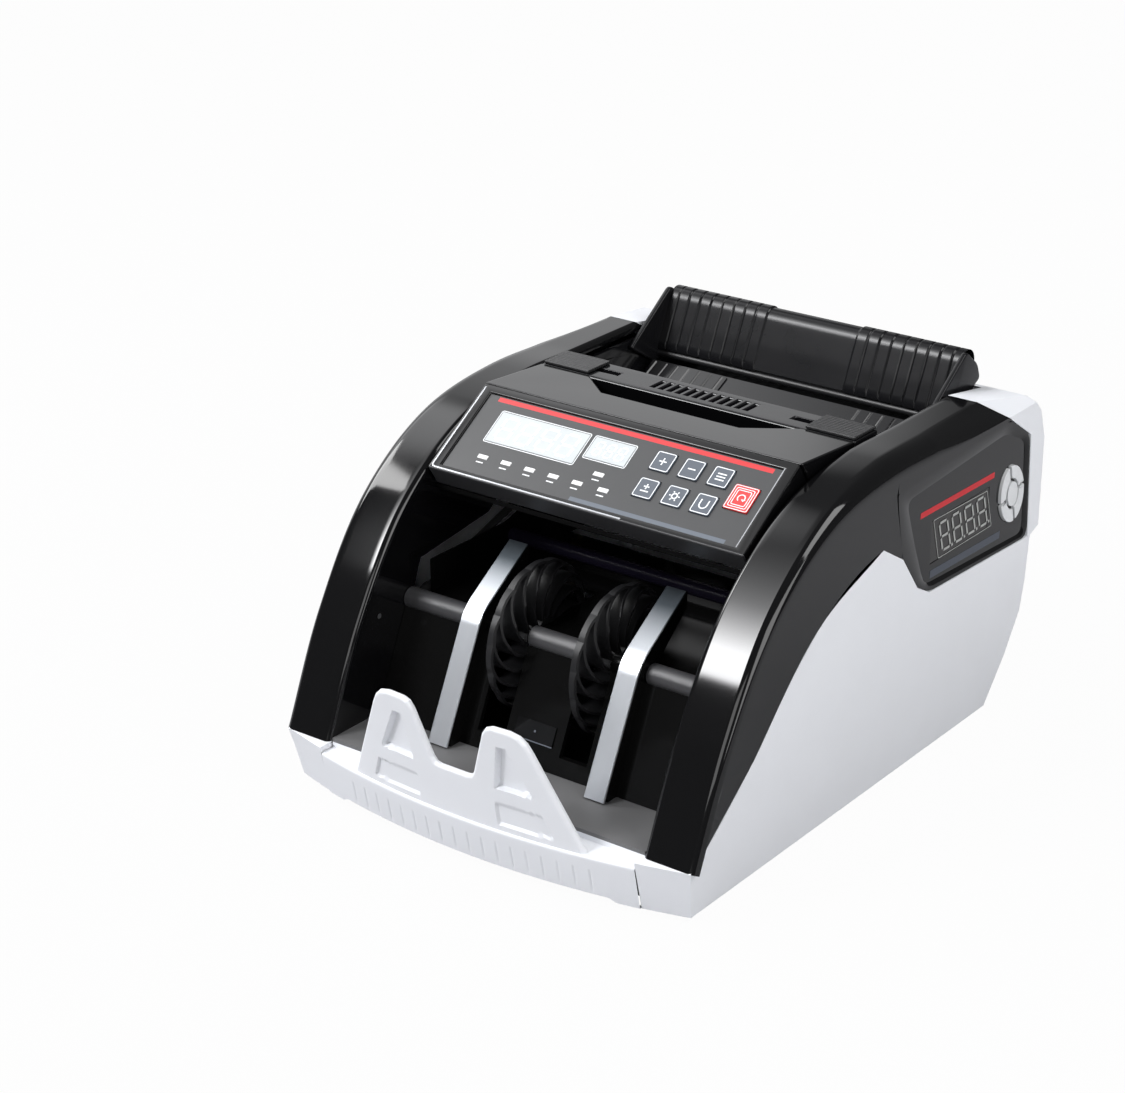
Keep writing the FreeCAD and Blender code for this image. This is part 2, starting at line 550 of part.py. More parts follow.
# Stacker pocket
plane_length = "sqrt(pow(strip_bend_y - strip_foot_y; 2) + pow(strip_bend_z - strip_foot_z; 2))"
normal_y = f"((strip_bend_z - strip_foot_z) / {plane_length})"
normal_z = f"((strip_bend_y - strip_foot_y) / {plane_length})"


def behind(stem, depth):
    """A point of the guide strips' lower run moved back into the machine."""
    return f"{stem}_y + ({depth}) * {normal_y}", f"{stem}_z - ({depth}) * {normal_z}"


floor_half = "pocket_half - joint_gap"
across = (f"-({floor_half})", floor_half)
node("stacker_floor", box("floor", across, ("lip_shelf_y", "strip_foot_y + back_depth"),
                          ("floor_height - floor_thickness", "floor_height")))
back_low_y, back_low_z = behind("strip_foot", "back_depth")
back_top_y, back_top_z = behind("strip_bend", "back_depth")
plate = prism("back_plate", [(back_low_y, "floor_height + joint_gap"),
                             (f"{back_low_y} + back_thickness", "floor_height + joint_gap"),
                             (f"{back_top_y} + back_thickness", back_top_z),
                             (back_top_y, back_top_z)], across)
nose_y = f"{back_top_y} - nose_drop * {normal_z} + nose_radius / 2"
nose_z = f"{back_top_z} - nose_drop * {normal_y}"
nose = rod("back_nose", "nose_radius", across, nose_y, nose_z)
chute_end = "feed_y - feed_radius - 2 * wall"
chute = prism("chute", [(nose_y, nose_z), (chute_end, f"{nose_z} + chute_rise"),
                        (chute_end, f"{nose_z} + chute_rise + chute_thickness"),
                        (nose_y, f"{nose_z} + chute_thickness")],
              ("-frame_half + joint_gap", "frame_half - joint_gap"))
ribs = []
slots = []
strips = []
for side, low, high in (("left", "-strip_outer", "-strip_inner"), ("right", "strip_inner", "strip_outer")):
    ribs.append(prism(f"rib_{side}", [
        (f"{back_low_y} + back_thickness / 2", "floor_height + joint_gap"),
        ("strip_foot_y", "floor_height + joint_gap"), ("strip_foot_y", "strip_foot_z"),
        ("strip_bend_y", "strip_bend_z"), ("strip_end_y", "strip_end_z"),
        ("strip_end_y", "strip_end_z - back_depth"),
        (f"{back_top_y} + back_thickness", f"{back_top_z} - back_thickness")], (low, high)))
    face_y, face_z = behind("strip_foot", "-strip_thickness")
    bend_y, bend_z = behind("strip_bend", "-strip_thickness")
    strips.append(prism(f"strip_{side}", [
        ("strip_foot_y", "strip_foot_z"), ("strip_bend_y", "strip_bend_z"), ("strip_end_y", "strip_end_z"),
        ("strip_end_y", "strip_end_z + 1.2 * strip_thickness"), (bend_y, f"{bend_z} + strip_thickness / 2"),
        (face_y, face_z)], (low, high)))
for side, middle in (("left", "-wheel_x"), ("right", "wheel_x")):
    slots.append(box(f"wheel_slot_{side}", around(middle, "wheel_width", "slot_room"),
                     ("stacker_y - 2 * wheel_radius", "stacker_y + wheel_radius + slot_room"),
                     ("stacker_z - wheel_radius - slot_room", "stacker_z + wheel_radius")))
node("stacker_back", cut("back", fuse("back_solid", [plate, nose, chute] + ribs), slots))
node("guide_strips", group("strips", strips))
node("pocket_ceiling", prism("ceiling", [
    ("ceiling_front_y", "ceiling_front_z"), ("ceiling_rear_y", "ceiling_rear_z"),
    ("ceiling_rear_y", "ceiling_rear_z + ceiling_thickness"),
    ("ceiling_front_y", "ceiling_front_z + ceiling_thickness")], across))

# Control panel
KEYS = {
    "key_plus": ("key_column", "key_row_high", "key"),
    "key_minus": ("key_column + key_pitch", "key_row_high", "key"),
    "key_batch": ("key_column + 2 * key_pitch", "key_row_high", "key"),
    "key_add": ("key_column", "key_row_low", "key"),
    "key_lamp": ("key_column + key_pitch", "key_row_low", "key"),
    "key_magnet": ("key_column + 2 * key_pitch", "key_row_low", "key"),
    "key_restart": ("red_key_x", "red_key_row", "red_key"),
}
LAMPS = [(f"lamp_first + {place} * lamp_pitch", "lamp_row") for place in range(5)]
LAMPS += [("lamp_first + 5 * lamp_pitch + lamp_width / 6", "lamp_row"), ("lamp_upper_x", "lamp_upper_row")]
WINDOWS = {
    "main": (("main_display_left", "main_display_right"), ("main_display_low", "display_top")),
    "small": (("small_display_left", "small_display_right"), ("small_display_low", "display_top")),
}
board_top = "-board_depth + board_thickness"


def key_cap(name, x, v, kind):
    """A key cap with rounded corners, standing proud of the panel's face."""
    body = document.addObject("PartDesign::Body", name + "_body")
    sketch = body.newObject("Sketcher::SketchObject", name + "_sketch")
    plane = [item for item in body.Origin.OriginFeatures if item.Role == "XY_Plane"][0]
    sketch.AttachmentSupport = (plane, "")
    sketch.MapMode = "FlatFace"
    half_x, half_v = mm(f"{kind}_width / 2"), mm(f"{kind}_height / 2")
    corners = [Vector(-half_x, -half_v, 0), Vector(half_x, -half_v, 0),
               Vector(half_x, half_v, 0), Vector(-half_x, half_v, 0)]
    for index in range(4):
        sketch.addGeometry(Part.LineSegment(corners[index], corners[(index + 1) % 4]))
    for index in range(4):
        sketch.addConstraint(Sketcher.Constraint("Coincident", index, 2, (index + 1) % 4, 1))
        sketch.addConstraint(Sketcher.Constraint(("Horizontal", "Vertical")[index % 2], index))
    sketch.addConstraint(Sketcher.Constraint("Symmetric", 0, 1, 1, 2, -1, 1))
    wide = sketch.addConstraint(Sketcher.Constraint("DistanceX", 0, 1, 0, 2, 2 * half_x))
    high = sketch.addConstraint(Sketcher.Constraint("DistanceY", 1, 1, 1, 2, 2 * half_v))
    bind(sketch, f"Constraints[{wide}]", f"{kind}_width")
    bind(sketch, f"Constraints[{high}]", f"{kind}_height")
    pad = body.newObject("PartDesign::Pad", name + "_pad")
    pad.Profile = sketch
    bind(pad, "Length", "key_body")
    document.recompute()
    upright = [f"Edge{number}" for number, edge in enumerate(pad.Shape.Edges, start=1)
               if abs(edge.Vertexes[0].Z - edge.Vertexes[-1].Z) > mm("key_body / 2")]
    fillet = body.newObject("PartDesign::Fillet", name + "_rounds")
    fillet.Base = (pad, upright)
    bind(fillet, "Radius", "key_round")
    body.Tip = fillet
    set_on_panel(body, x, v, "key_proud - key_body")
    return body


openings = []
for name, (x, v, kind) in KEYS.items():
    node(name, key_cap(name, x, v, kind))
    openings.append(panel_box(name + "_hole", around(x, f"{kind}_width", "key_clearance"),
                              around(v, f"{kind}_height", "key_clearance"), ("-bezel_depth", "bezel_depth")))
lenses = []
for number, (x, v) in enumerate(LAMPS, start=1):
    lenses.append(panel_box(f"lens_{number}", around(x, "lamp_width", "0"), around(v, "lamp_height", "0"),
                            (board_top, "display_proud")))
    openings.append(panel_box(f"lens_{number}_hole", around(x, "lamp_width", "joint_gap"),
                              around(v, "lamp_height", "joint_gap"), ("-bezel_depth", "bezel_depth")))
displays = []
for name, ((left, right), (low, high)) in WINDOWS.items():
    displays.append(panel_box(name + "_display", (left, right), (low, high), (board_top, "display_proud")))
    openings.append(panel_box(name + "_display_hole", (f"{left} - joint_gap", f"{right} + joint_gap"),
                              (f"{low} - joint_gap", f"{high} + joint_gap"), ("-bezel_depth", "bezel_depth")))
node("display_windows", group("windows", displays))
node("indicator_lenses", group("lenses", lenses))
face_across = ("-face_half", "face_half")
face_blank = panel_box("face_blank", face_across, ("0", "face_height"), ("-face_thickness", "0"))
node("panel_face", cut("face", face_blank, openings))
bezel_blank = panel_box("bezel_blank", ("-bezel_half", "bezel_half"),
                        ("-bezel_below", "face_height + bezel_above"), ("-bezel_depth", "bezel_rim"))
face_seat = panel_box("face_seat", ("-face_half - joint_gap", "face_half + joint_gap"),
                      ("-joint_gap", "face_height + joint_gap"), ("-face_thickness", "2 * bezel_rim"))
bezel_well = panel_box("bezel_well", ("-face_half + wall", "face_half - wall"),
                       ("wall / 2", "face_height - wall / 2"), ("-2 * bezel_depth", "-face_thickness / 2"))
node("panel_bezel", cut("bezel", bezel_blank, [face_seat, bezel_well]))
node("panel_board", panel_box("board", ("-face_half + wall + joint_gap", "face_half - wall - joint_gap"),
                              ("wall / 2 + joint_gap", "face_height - wall / 2 - joint_gap"),
                              ("-board_depth", board_top)))

# Top cover, carry handle and note guides
bezel_end = "face_height + bezel_above + joint_gap"
cover_front_y, cover_front_z = panel_place(bezel_end, "bezel_rim")
cover_back_y, cover_back_z = panel_place(bezel_end, "-bezel_depth")
cover_outer = prism("cover_outer", [
    (cover_back_y, "cover_bottom"), ("cover_rear_y", "cover_bottom"), ("cover_rear_y", "cover_rear_z"),
    (cover_front_y, cover_front_z), (cover_back_y, cover_back_z)], across)
cover_inner = prism("cover_inner", [
    (f"{cover_back_y} + wall", "cover_bottom - wall"), ("cover_rear_y - wall", "cover_bottom - wall"),
    ("cover_rear_y - wall", "cover_rear_z - wall"),
    (f"{cover_back_y} + wall", f"{cover_front_z} - 2 * wall")],
    (f"-({floor_half}) + wall", f"{floor_half} - wall"))


def recess(label, inset, low, high):
    """The finger recess before the handle: a tray that narrows towards the front."""
    front, rear = mm("recess_front_y") + inset, mm("cover_rear_y + recess_lap") - inset
    wide, narrow = mm("recess_rear_half") - inset, mm("recess_front_half") - inset
    loop = [Vector(-narrow, front, low), Vector(narrow, front, low),
            Vector(wide, rear, low), Vector(-wide, rear, low)]
    face = Part.Face(Part.makePolygon(loop + loop[:1]))
    return solid(label, face.extrude(Vector(0, 0, high - low)))


recess_tray = recess("recess_tray", 0.0, mm("recess_floor - wall"), mm("cover_rear_z - wall / 2"))
recess_trim = box("recess_trim", across, ("recess_front_y", "cover_rear_y"), ("cover_bottom", "cover_rear_z"))
tray_inside = document.addObject("Part::Common", "tray_inside")
tray_inside.Base = recess_tray
tray_inside.Tool = recess_trim
recess_well = recess("recess_well", mm("wall"), mm("recess_floor"), mm("2 * top_height"))
cover_shell = fuse("cover_shell", [cut("cover_skin", cover_outer, [cover_inner]), tray_inside])
node("top_cover", cut("cover", cover_shell, [recess_well]))

handle_bottom = "handle_top - handle_thickness"
bar = box("bar", across, ("cover_rear_y", "handle_rear_y"), (handle_bottom, "handle_top"))
bar_cuts = []
for place in range(int(mm("vent_count"))):
    middle = f"({place} - (vent_count - 1) / 2) * vent_pitch"
    bar_cuts.append(box(f"vent_{place + 1}", around(middle, "vent_width", "0"),
                        ("vent_front_y", "vent_front_y + vent_length"),
                        past((handle_bottom, "handle_top"))))
stem_y = around("guide_stem_y", "guide_stem", "0")
stem_room = around("guide_stem_y", "guide_stem", "guide_room")
for side, sign in (("left", "-1"), ("right", "1")):
    near, far = f"{sign} * (guide_outer - 3 * guide_stem)", f"{sign} * (guide_outer - 2 * guide_stem)"
    stop_in = f"{sign} * (guide_outer - 3 * guide_stem - guide_travel - guide_end_room)"
    stop_out = f"{sign} * (guide_outer - 2 * guide_stem + guide_end_room)"
    slot = (stop_in, stop_out) if side == "right" else (stop_out, stop_in)
    stem = (near, far) if side == "right" else (far, near)
    pad = ("guide_inner", "guide_outer") if side == "right" else ("-guide_outer", "-guide_inner")
    blade = (near, f"{near} + guide_blade_thickness")
    if side == "left":
        blade = (f"{near} - guide_blade_thickness", near)
    bar_cuts.append(box(f"guide_slot_{side}", slot, stem_room, past((handle_bottom, "handle_top"))))
    guide_top = "handle_top + joint_gap + guide_thickness"
    arm = (f"{handle_bottom} - joint_gap - guide_stem", f"{handle_bottom} - joint_gap")
    node(f"note_guide_{side}", fuse(f"guide_{side}", [
        box(f"guide_pad_{side}", pad, ("cover_rear_y + recess_lap", "handle_rear_y - guide_end_room"),
            ("handle_top + joint_gap", guide_top)),
        box(f"guide_stem_{side}", stem, stem_y, (arm[0], "handle_top + guide_thickness")),
        box(f"guide_arm_{side}", stem, (stem_y[0], "guide_blade_rear"), arm),
        box(f"guide_blade_{side}", blade, ("handle_rear_y + ramp_room", "guide_blade_rear"),
            ("guide_blade_bottom", arm[1]))]))
node("handle_bar", cut("handle", bar, bar_cuts))

# Hopper
ramp_span = ("-ramp_half", "ramp_half")
ramp_heel = ("ramp_rear_y", "ramp_rear_z - ramp_drop")
ramp = prism("ramp", [("ramp_front_y", "ramp_front_z - ramp_drop"), ramp_heel,
                      ("ramp_rear_y", "ramp_rear_z"), ("ramp_front_y", "ramp_front_z")], ramp_span)
slope = "((ramp_rear_z - ramp_front_z) / (ramp_rear_y - ramp_front_y))"
pickup_depth = f"(pickup_radius - pickup_proud) * sqrt(1 + pow({slope}; 2))"
pickup_z = f"(ramp_front_z + (pickup_y - ramp_front_y) * {slope} - {pickup_depth})"
bridge_z = f"ramp_front_z + (wing_slot_front - ramp_front_y) * {slope}"
tray_span = ("-tray_wall_outer", "tray_wall_outer")
bridge = prism("bridge", [("ramp_front_y", "ramp_front_z - ramp_drop"),
                          ("wing_slot_front", f"{bridge_z} - ramp_drop"), ("wing_slot_front", bridge_z),
                          ("ramp_front_y", "ramp_front_z")], tray_span)
tray_rear = "rear_top_y - wall - ramp_room"
sill_front = ("flap_axis_y + wing_boss - ramp_room", "flap_axis_z - sill_front_drop")
sill_rear = (tray_rear, "flap_axis_z - sill_rear_drop")
sill = prism("sill", [sill_front, sill_rear, (sill_rear[0], f"{sill_rear[1]} + wall"),
                      (sill_front[0], f"{sill_front[1]} + wall")], tray_span)
apron = prism("apron", [("ramp_rear_y - wall", f"{ramp_heel[1]} - wall"),
                        (f"{sill_front[0]} + wall / 2", f"{sill_front[1]} - wall / 2"),
                        (f"{sill_front[0]} + wall / 2", f"{sill_front[1]} + wall / 2"),
                        ("ramp_rear_y", "ramp_rear_z - ramp_drop / 2")], ramp_span)
walls = []
for side, low, high in (("left", "-tray_wall_outer", "-tray_wall_inner"),
                        ("right", "tray_wall_inner", "tray_wall_outer")):
    walls.append(prism(f"tray_wall_{side}", [
        ("handle_rear_y + ramp_room", "ramp_front_z"), ("ramp_front_y", "ramp_front_z - ramp_thickness"),
        ("flap_axis_y + 2 * wall", "flap_axis_z - sill_front_drop - sill_rear_drop"),
        (tray_rear, "flap_axis_z - 2 * sill_rear_drop"), (tray_rear, "rear_top_z - 2 * wall"),
        ("tray_wall_rear", "tray_wall_top"), ("handle_rear_y + ramp_room", "tray_wall_top")], (low, high)))
flap_axis = ("flap_axis_y", "flap_axis_z")
whole_width = ("-2 * half_width", "2 * half_width")
tray_cuts = [rod("pin_hole", "flap_pin_radius", whole_width, *flap_axis)]
for side, middle in (("left", "-feed_roller_x"), ("right", "feed_roller_x")):
    tray_cuts.append(box(f"roller_slot_{side}", around(middle, "feed_roller_width", "slot_room"),
                         ("pickup_y - pickup_radius - slot_room", "pickup_y + pickup_radius - slot_room"),
                         (pickup_z, f"{pickup_z} + 3 * pickup_radius")))
node("hopper_tray", cut("tray", fuse("tray_solid", [ramp, apron, bridge, sill] + walls), tray_cuts))
node("flap_pin", rod("pin", "flap_pin_radius", tray_span, *flap_axis))
plate_foot_z = "flap_axis_z + flap_pin_radius + flap_foot"
wing_span = ("-wing_outer", "wing_outer")
flap_plate = prism("flap_plate", [
    ("flap_axis_y - flap_thickness / 2", plate_foot_z), ("flap_axis_y + 1.5 * flap_thickness", plate_foot_z),
    ("flap_top_y + flap_thickness / 2", "flap_top_z"), ("flap_top_y - flap_thickness / 2", "flap_top_z")],
    wing_span)
flap_roll = rod("flap_roll_rod", "flap_roll", wing_span, "flap_top_y", "flap_top_z - flap_roll / 3")
wings = []
for side, low, high in (("left", "-wing_outer", "-wing_inner"), ("right", "wing_inner", "wing_outer")):
    wings.append(prism(f"wing_{side}", [
        ("wing_front_y", "wing_front_z"), ("flap_axis_y - wing_boss", "flap_axis_z - wing_boss_drop"),
        ("flap_axis_y + wing_boss", "flap_axis_z - wing_boss_drop"),
        ("wing_rear_y - 1.2 * wing_boss", "wing_rear_z - wing_boss / 2"), ("wing_rear_y", "wing_rear_z"),
        ("wing_rear_y - 0.7 * wing_boss", "wing_rear_z + 1.8 * wing_boss"),
        ("wing_tip_y", "wing_tip_z")], (low, high)))
flap_bore = rod("flap_bore", "flap_pin_radius + running_fit", whole_width, *flap_axis)
node("hopper_flap", cut("flap", fuse("flap_solid", [flap_plate, flap_roll] + wings), [flap_bore]))

# Frame plates and shafts
SHAFTS = {"stacker": ("stacker_y", "stacker_z"), "feed": ("feed_y", "feed_z"),
          "idler": ("idler_y", "idler_z"), "pickup": ("pickup_y", pickup_z)}
frame_heel = "main_board_front - frame_step"
frame_rear = "pickup_y + 2 * bush_radius"
under_ramp = f"ramp_front_z - ramp_drop - joint_gap + {slope}"
frame_outline = [
    ("stacker_y - frame_toe", "foot_height + wall"), (frame_heel, "foot_height + wall"),
    (frame_heel, "feed_z - 2.5 * frame_edge"), (frame_rear, "feed_z - 2.5 * frame_edge"),
    (frame_rear, f"{under_ramp} * ({frame_rear} - ramp_front_y)"),
    ("ramp_front_y - frame_edge / 2", f"{under_ramp} * (-frame_edge / 2)"),
    ("ramp_front_y - frame_edge / 2", "idler_z + frame_edge"),
    ("idler_y - frame_edge", "idler_z + frame_edge"), ("idler_y - frame_edge", "feed_z + frame_step"),
    ("lamp_tube_y - frame_step", "lamp_tube_z + 2 * frame_step"),
    ("stacker_y - frame_notch", "lamp_tube_z + 2 * frame_step"),
    ("stacker_y - frame_notch", "stacker_z + 1.5 * frame_step"),
    ("stacker_y - frame_toe", "stacker_z + frame_step / 2")]
motor_place = ("motor_y", "motor_z")
bushes = []
for side, low, high in (("left", "-frame_half - frame_thickness", "-frame_half"),
                        ("right", "frame_half", "frame_half + frame_thickness")):
    holes = [rod(f"{name}_hole_{side}", "bush_radius", past((low, high)), y, z)
             for name, (y, z) in SHAFTS.items()]
    holes.append(rod(f"motor_hole_{side}", "bush_radius", past((low, high)), *motor_place))
    blank = prism(f"frame_blank_{side}", frame_outline, (low, high))
    node(f"frame_plate_{side}", cut(f"frame_{side}", blank, holes))
    inner = "frame_half + frame_thickness - bush_thickness"
    span = (inner, high) if side == "right" else (low, f"-({inner})")
    for name, (y, z) in SHAFTS.items():
        bushes.append(cut(f"{name}_bush_{side}", rod(f"{name}_bush_blank_{side}", "bush_radius", span, y, z),
                          [rod(f"{name}_bush_bore_{side}", "shaft_radius + running_fit",
                               past(span), y, z)]))
node("shaft_bushes", group("bushes", bushes))

outer_left = "-(frame_half + frame_thickness)"
lane_stacker = (f"{outer_left} - belt_lane - belt_width", f"{outer_left} - belt_lane")
lane_motor = (f"{lane_stacker[0]} - belt_lane - belt_width", f"{lane_stacker[0]} - belt_lane")
lane_pickup = ("frame_half - bush_thickness - belt_width", "frame_half - bush_thickness")
shaft_end = "frame_half + frame_thickness + overshoot"


def wheel_ring(label, radius, x, y, z):
    """A ring that fits round a shaft."""
    return cut(label, rod(label + "_blank", radius, x, y, z),
               [rod(label + "_bore", "shaft_radius", past(x), y, z)])


def pulley(label, radius, x, y, z):
    """A flat belt pulley between two thin rims, on a shaft."""
    rim = "(belt_gap + belt_thickness)"
    edges = [rod(f"{label}_rim_{end}", f"{radius} + {rim}", around(place, "rim_thickness", "0"), y, z)
             for end, place in enumerate((f"({x[0]}) - rim_place", f"({x[1]}) + rim_place"), start=1)]
    drum = rod(label + "_drum", radius, past(x), y, z)
    bore = rod(label + "_hub_bore", "shaft_radius",
               (f"{x[0]} - shaft_radius", f"{x[1]} + shaft_radius"), y, z)
    return cut(label, fuse(label + "_blank", edges + [drum]), [bore])


stacker_span = (f"{lane_stacker[0]} - overshoot", shaft_end)
stacker_rod = rod("stacker_rod", "shaft_radius", stacker_span, *SHAFTS["stacker"])
node("stacker_shaft", stacker_rod)
feed_rod = rod("feed_rod", "shaft_radius", (f"{lane_motor[0]} - overshoot", shaft_end), *SHAFTS["feed"])
node("feed_shaft", feed_rod)
feed_pair = []
for side, middle in (("left", "-feed_roller_x"), ("right", "feed_roller_x")):
    lane = around(middle, "feed_roller_width", "0")
    feed_pair.append(wheel_ring(f"feed_roller_{side}", "feed_radius", lane, *SHAFTS["feed"]))
node("feed_rollers", group("feed_roller_pair", feed_pair))
node("stacker_pulley", pulley("stacker_drum", "pulley_small", lane_stacker, "stacker_y", "stacker_z"))
node("feed_pulleys", group("feed_drums", [
    pulley("feed_drum_stacker", "pulley_large", lane_stacker, "feed_y", "feed_z"),
    pulley("feed_drum_motor", "pulley_large", lane_motor, "feed_y", "feed_z"),
    pulley("feed_drum_pickup", "pulley_pickup", lane_pickup, "feed_y", "feed_z")]))
rollers = {}
for name, radius in (("idler", "idler_radius"), ("pickup", "pickup_radius")):
    y, z = SHAFTS[name]
    pieces = [rod(name + "_rod", "shaft_radius", (f"-({shaft_end})", shaft_end), y, z)]
    for side, middle in (("left", "-feed_roller_x"), ("right", "feed_roller_x")):
        pieces.append(rod(f"{name}_roller_{side}", radius, around(middle, "feed_roller_width", "0"), y, z))
    rollers[name] = fuse(name, pieces)
node("idler_roller", rollers["idler"])
pickup_drum = pulley("pickup_drum", "pulley_pickup", lane_pickup, *SHAFTS["pickup"])
node("pickup_roller", group("pickup_set", [rollers["pickup"], pickup_drum]))


def stacking_wheel(label, middle):
    """A hub with swept vanes, each a thin arc from the hub to the rim that narrows to its tip."""
    hub, rim = mm("wheel_hub"), mm("wheel_radius")
    half = mm("wheel_width / 2")
    count = int(mm("vane_count"))
    outer = [at("wheel_hub - vane_root", "0"), at("vane_bend_out", "-vane_bend_drop"),
             at("vane_tip_out", "-vane_tip_drop")]
    arc = Part.Arc(*outer).toShape()
    middle_point = arc.Curve.Center
    share = 1 - mm("vane_thickness") / arc.Curve.Radius
    inner = [middle_point + (point - middle_point) * share for point in outer]
    edges = [arc, Part.Arc(*inner).toShape()]
    edges += chain([outer[0], inner[0]]) + chain([outer[2], inner[2]])
    vane = run_of(edges, -half, half)
    core = Part.makeCylinder(hub, 2 * half, Vector(-half, 0, 0), Vector(1, 0, 0))
    for place in range(count):
        turned = vane.copy()
        turned.rotate(Vector(), Vector(1, 0, 0), 360.0 * place / count)
        core = core.fuse(turned)
    shoulder, point = mm("vane_shoulder"), mm("vane_tip_width / 2")
    half_view = [Vector(-half, 0, 0), Vector(half, 0, 0), Vector(half, shoulder, 0), Vector(point, rim, 0),
                 Vector(-point, rim, 0), Vector(-half, shoulder, 0)]
    envelope = Part.Face(Part.makePolygon(half_view + half_view[:1]))
    core = core.common(envelope.revolve(Vector(), Vector(1, 0, 0), 360))
    bore = Part.makeCylinder(mm("shaft_radius"), 4 * half, Vector(-2 * half, 0, 0), Vector(1, 0, 0))
    wheel = solid(label, core.cut(bore).removeSplitter())
    wheel.Placement = Placement(Vector(mm(middle), mm("stacker_y"), mm("stacker_z")), Rotation())
    return wheel


node("stacker_wheels", group("stacker_wheel_pair", [
    stacking_wheel("stacker_wheel_left", "-wheel_x"), stacking_wheel("stacker_wheel_right", "wheel_x")]))

# Motor and belts
motor_face = "-frame_half"
motor_blank = rod("motor_can", "motor_radius", (motor_face, f"{motor_face} + motor_length"), *motor_place)
motor_bore = rod("motor_bore", "shaft_radius + running_fit",
                 (f"{motor_face} - overshoot", f"{motor_face} + motor_length / 2"), *motor_place)
node("motor", cut("motor_body", motor_blank, [motor_bore]))
motor_span = (f"{lane_motor[0]} - overshoot", f"{motor_face} + motor_length / 2 - overshoot")
motor_rod = rod("motor_rod", "shaft_radius", motor_span, *motor_place)
motor_drum = pulley("motor_drum", "pulley_small", lane_motor, *motor_place)
node("motor_pulley", fuse("motor_rotor", [motor_rod, motor_drum]))


def hull_of_two(first, last, lane):
    """The outline of a band stretched round two circles, carried across its lane."""
    (y1, z1, r1), (y2, z2, r2) = first, last
    reach = math.hypot(y2 - y1, z2 - z1)
    along = math.atan2(z2 - z1, y2 - y1)
    spread = math.acos((r1 - r2) / reach)

    def rim(y, z, r, angle):
        return Vector(0, y + r * math.cos(angle), z + r * math.sin(angle))

    low1, low2 = rim(y1, z1, r1, along - spread), rim(y2, z2, r2, along - spread)
    top1, top2 = rim(y1, z1, r1, along + spread), rim(y2, z2, r2, along + spread)
    back1, front2 = rim(y1, z1, r1, along + math.pi), rim(y2, z2, r2, along)
    edges = chain([low1, low2]) + [Part.Arc(low2, front2, top2).toShape()]
    edges += chain([top2, top1]) + [Part.Arc(top1, back1, low1).toShape()]
    return run_of(edges, mm(lane[0]), mm(lane[1]))


def belt(label, first, last, lane):
    """A closed flat belt standing a small gap off its two pulleys."""
    loops = []
    for extra in ("belt_gap + belt_thickness", "belt_gap"):
        ends = [(mm(y), mm(z), mm(f"{radius} + {extra}")) for y, z, radius in (first, last)]
        loops.append(hull_of_two(ends[0], ends[1], lane))
    return solid(label, loops[0].cut(loops[1]))


at_feed = (*SHAFTS["feed"], "pulley_large")
pickup_ends = [(*SHAFTS[name], "pulley_pickup") for name in ("feed", "pickup")]
node("drive_belts", group("belts", [
    belt("motor_belt", (*motor_place, "pulley_small"), at_feed, lane_motor),
    belt("stacker_belt", (*SHAFTS["stacker"], "pulley_small"), at_feed, lane_stacker),
    belt("pickup_belt", pickup_ends[0], pickup_ends[1], lane_pickup)]))

# Lamp, boards and supply
node("lamp_tube", rod("tube", "lamp_tube_radius", ("-frame_half + joint_gap", "frame_half - joint_gap"),
                      "lamp_tube_y", "lamp_tube_z"))
board_low = "foot_height + wall + standoff_height"
node("main_board", box("circuit_board", ("-main_board_half", "main_board_half"),
                       ("main_board_front", "main_board_rear"),
                       (board_low, f"{board_low} + board_thickness")))
node("power_supply", box("supply", ("supply_left", "supply_right"), ("supply_front", "supply_rear"),
                         ("foot_height + wall", "foot_height + wall + supply_height")))

# Rear inlet and rocker switch
inlet_across = around("inlet_x", "inlet_width", "-joint_gap / 2")
inlet_up = around("inlet_z", "inlet_height", "-joint_gap / 2")
inlet_block = box("inlet_block", inlet_across, ("rear_wall_y - inlet_depth", "rear_wall_y"), inlet_up)
inlet_well = box("inlet_well", around("inlet_x", "inlet_width", "-wall"),
                 ("rear_wall_y - inlet_depth + wall", "rear_wall_y + overshoot"),
                 around("inlet_z", "inlet_height", "-wall"))
pins = [box(f"inlet_pin_{place}", around(f"inlet_x + ({place}) * inlet_pin_pitch", "inlet_pin_width", "0"),
            ("rear_wall_y - inlet_depth + wall / 2", "rear_wall_y - wall"),
            around(f"inlet_z + ({rise}) * inlet_pin_height", "inlet_pin_height", "0"))
        for place, rise in ((-1, -0.5), (0, 0.5), (1, -0.5))]
node("mains_inlet", fuse("inlet", [cut("inlet_shell", inlet_block, [inlet_well])] + pins))
rocker_across = around("switch_x", "switch_width", "0")
rocker_blank = prism("rocker", [
    ("rear_wall_y - 3 * wall", "inlet_z - switch_height / 2"),
    ("rear_wall_y + switch_proud", "inlet_z - switch_height / 2"),
    ("rear_wall_y + switch_flat", "inlet_z"), ("rear_wall_y + switch_flat", "inlet_z + switch_height / 2"),
    ("rear_wall_y - 3 * wall", "inlet_z + switch_height / 2")], rocker_across)
pivot = ("rear_wall_y - 2 * wall", "inlet_z")
rocker_bore = rod("rocker_bore", "switch_pivot_radius + running_fit",
                  ("switch_x - switch_width", "switch_x + switch_width"), *pivot)
node("power_switch", cut("rocker_cap", rocker_blank, [rocker_bore]))
room_up = "2.5 * switch_clearance"
housing = box("switch_housing", around("switch_x", "switch_width", "switch_clearance + switch_wall"),
              ("rear_wall_y - 6 * wall", "rear_wall_y - wall"),
              around("inlet_z", "switch_height", f"({room_up} + switch_wall)"))
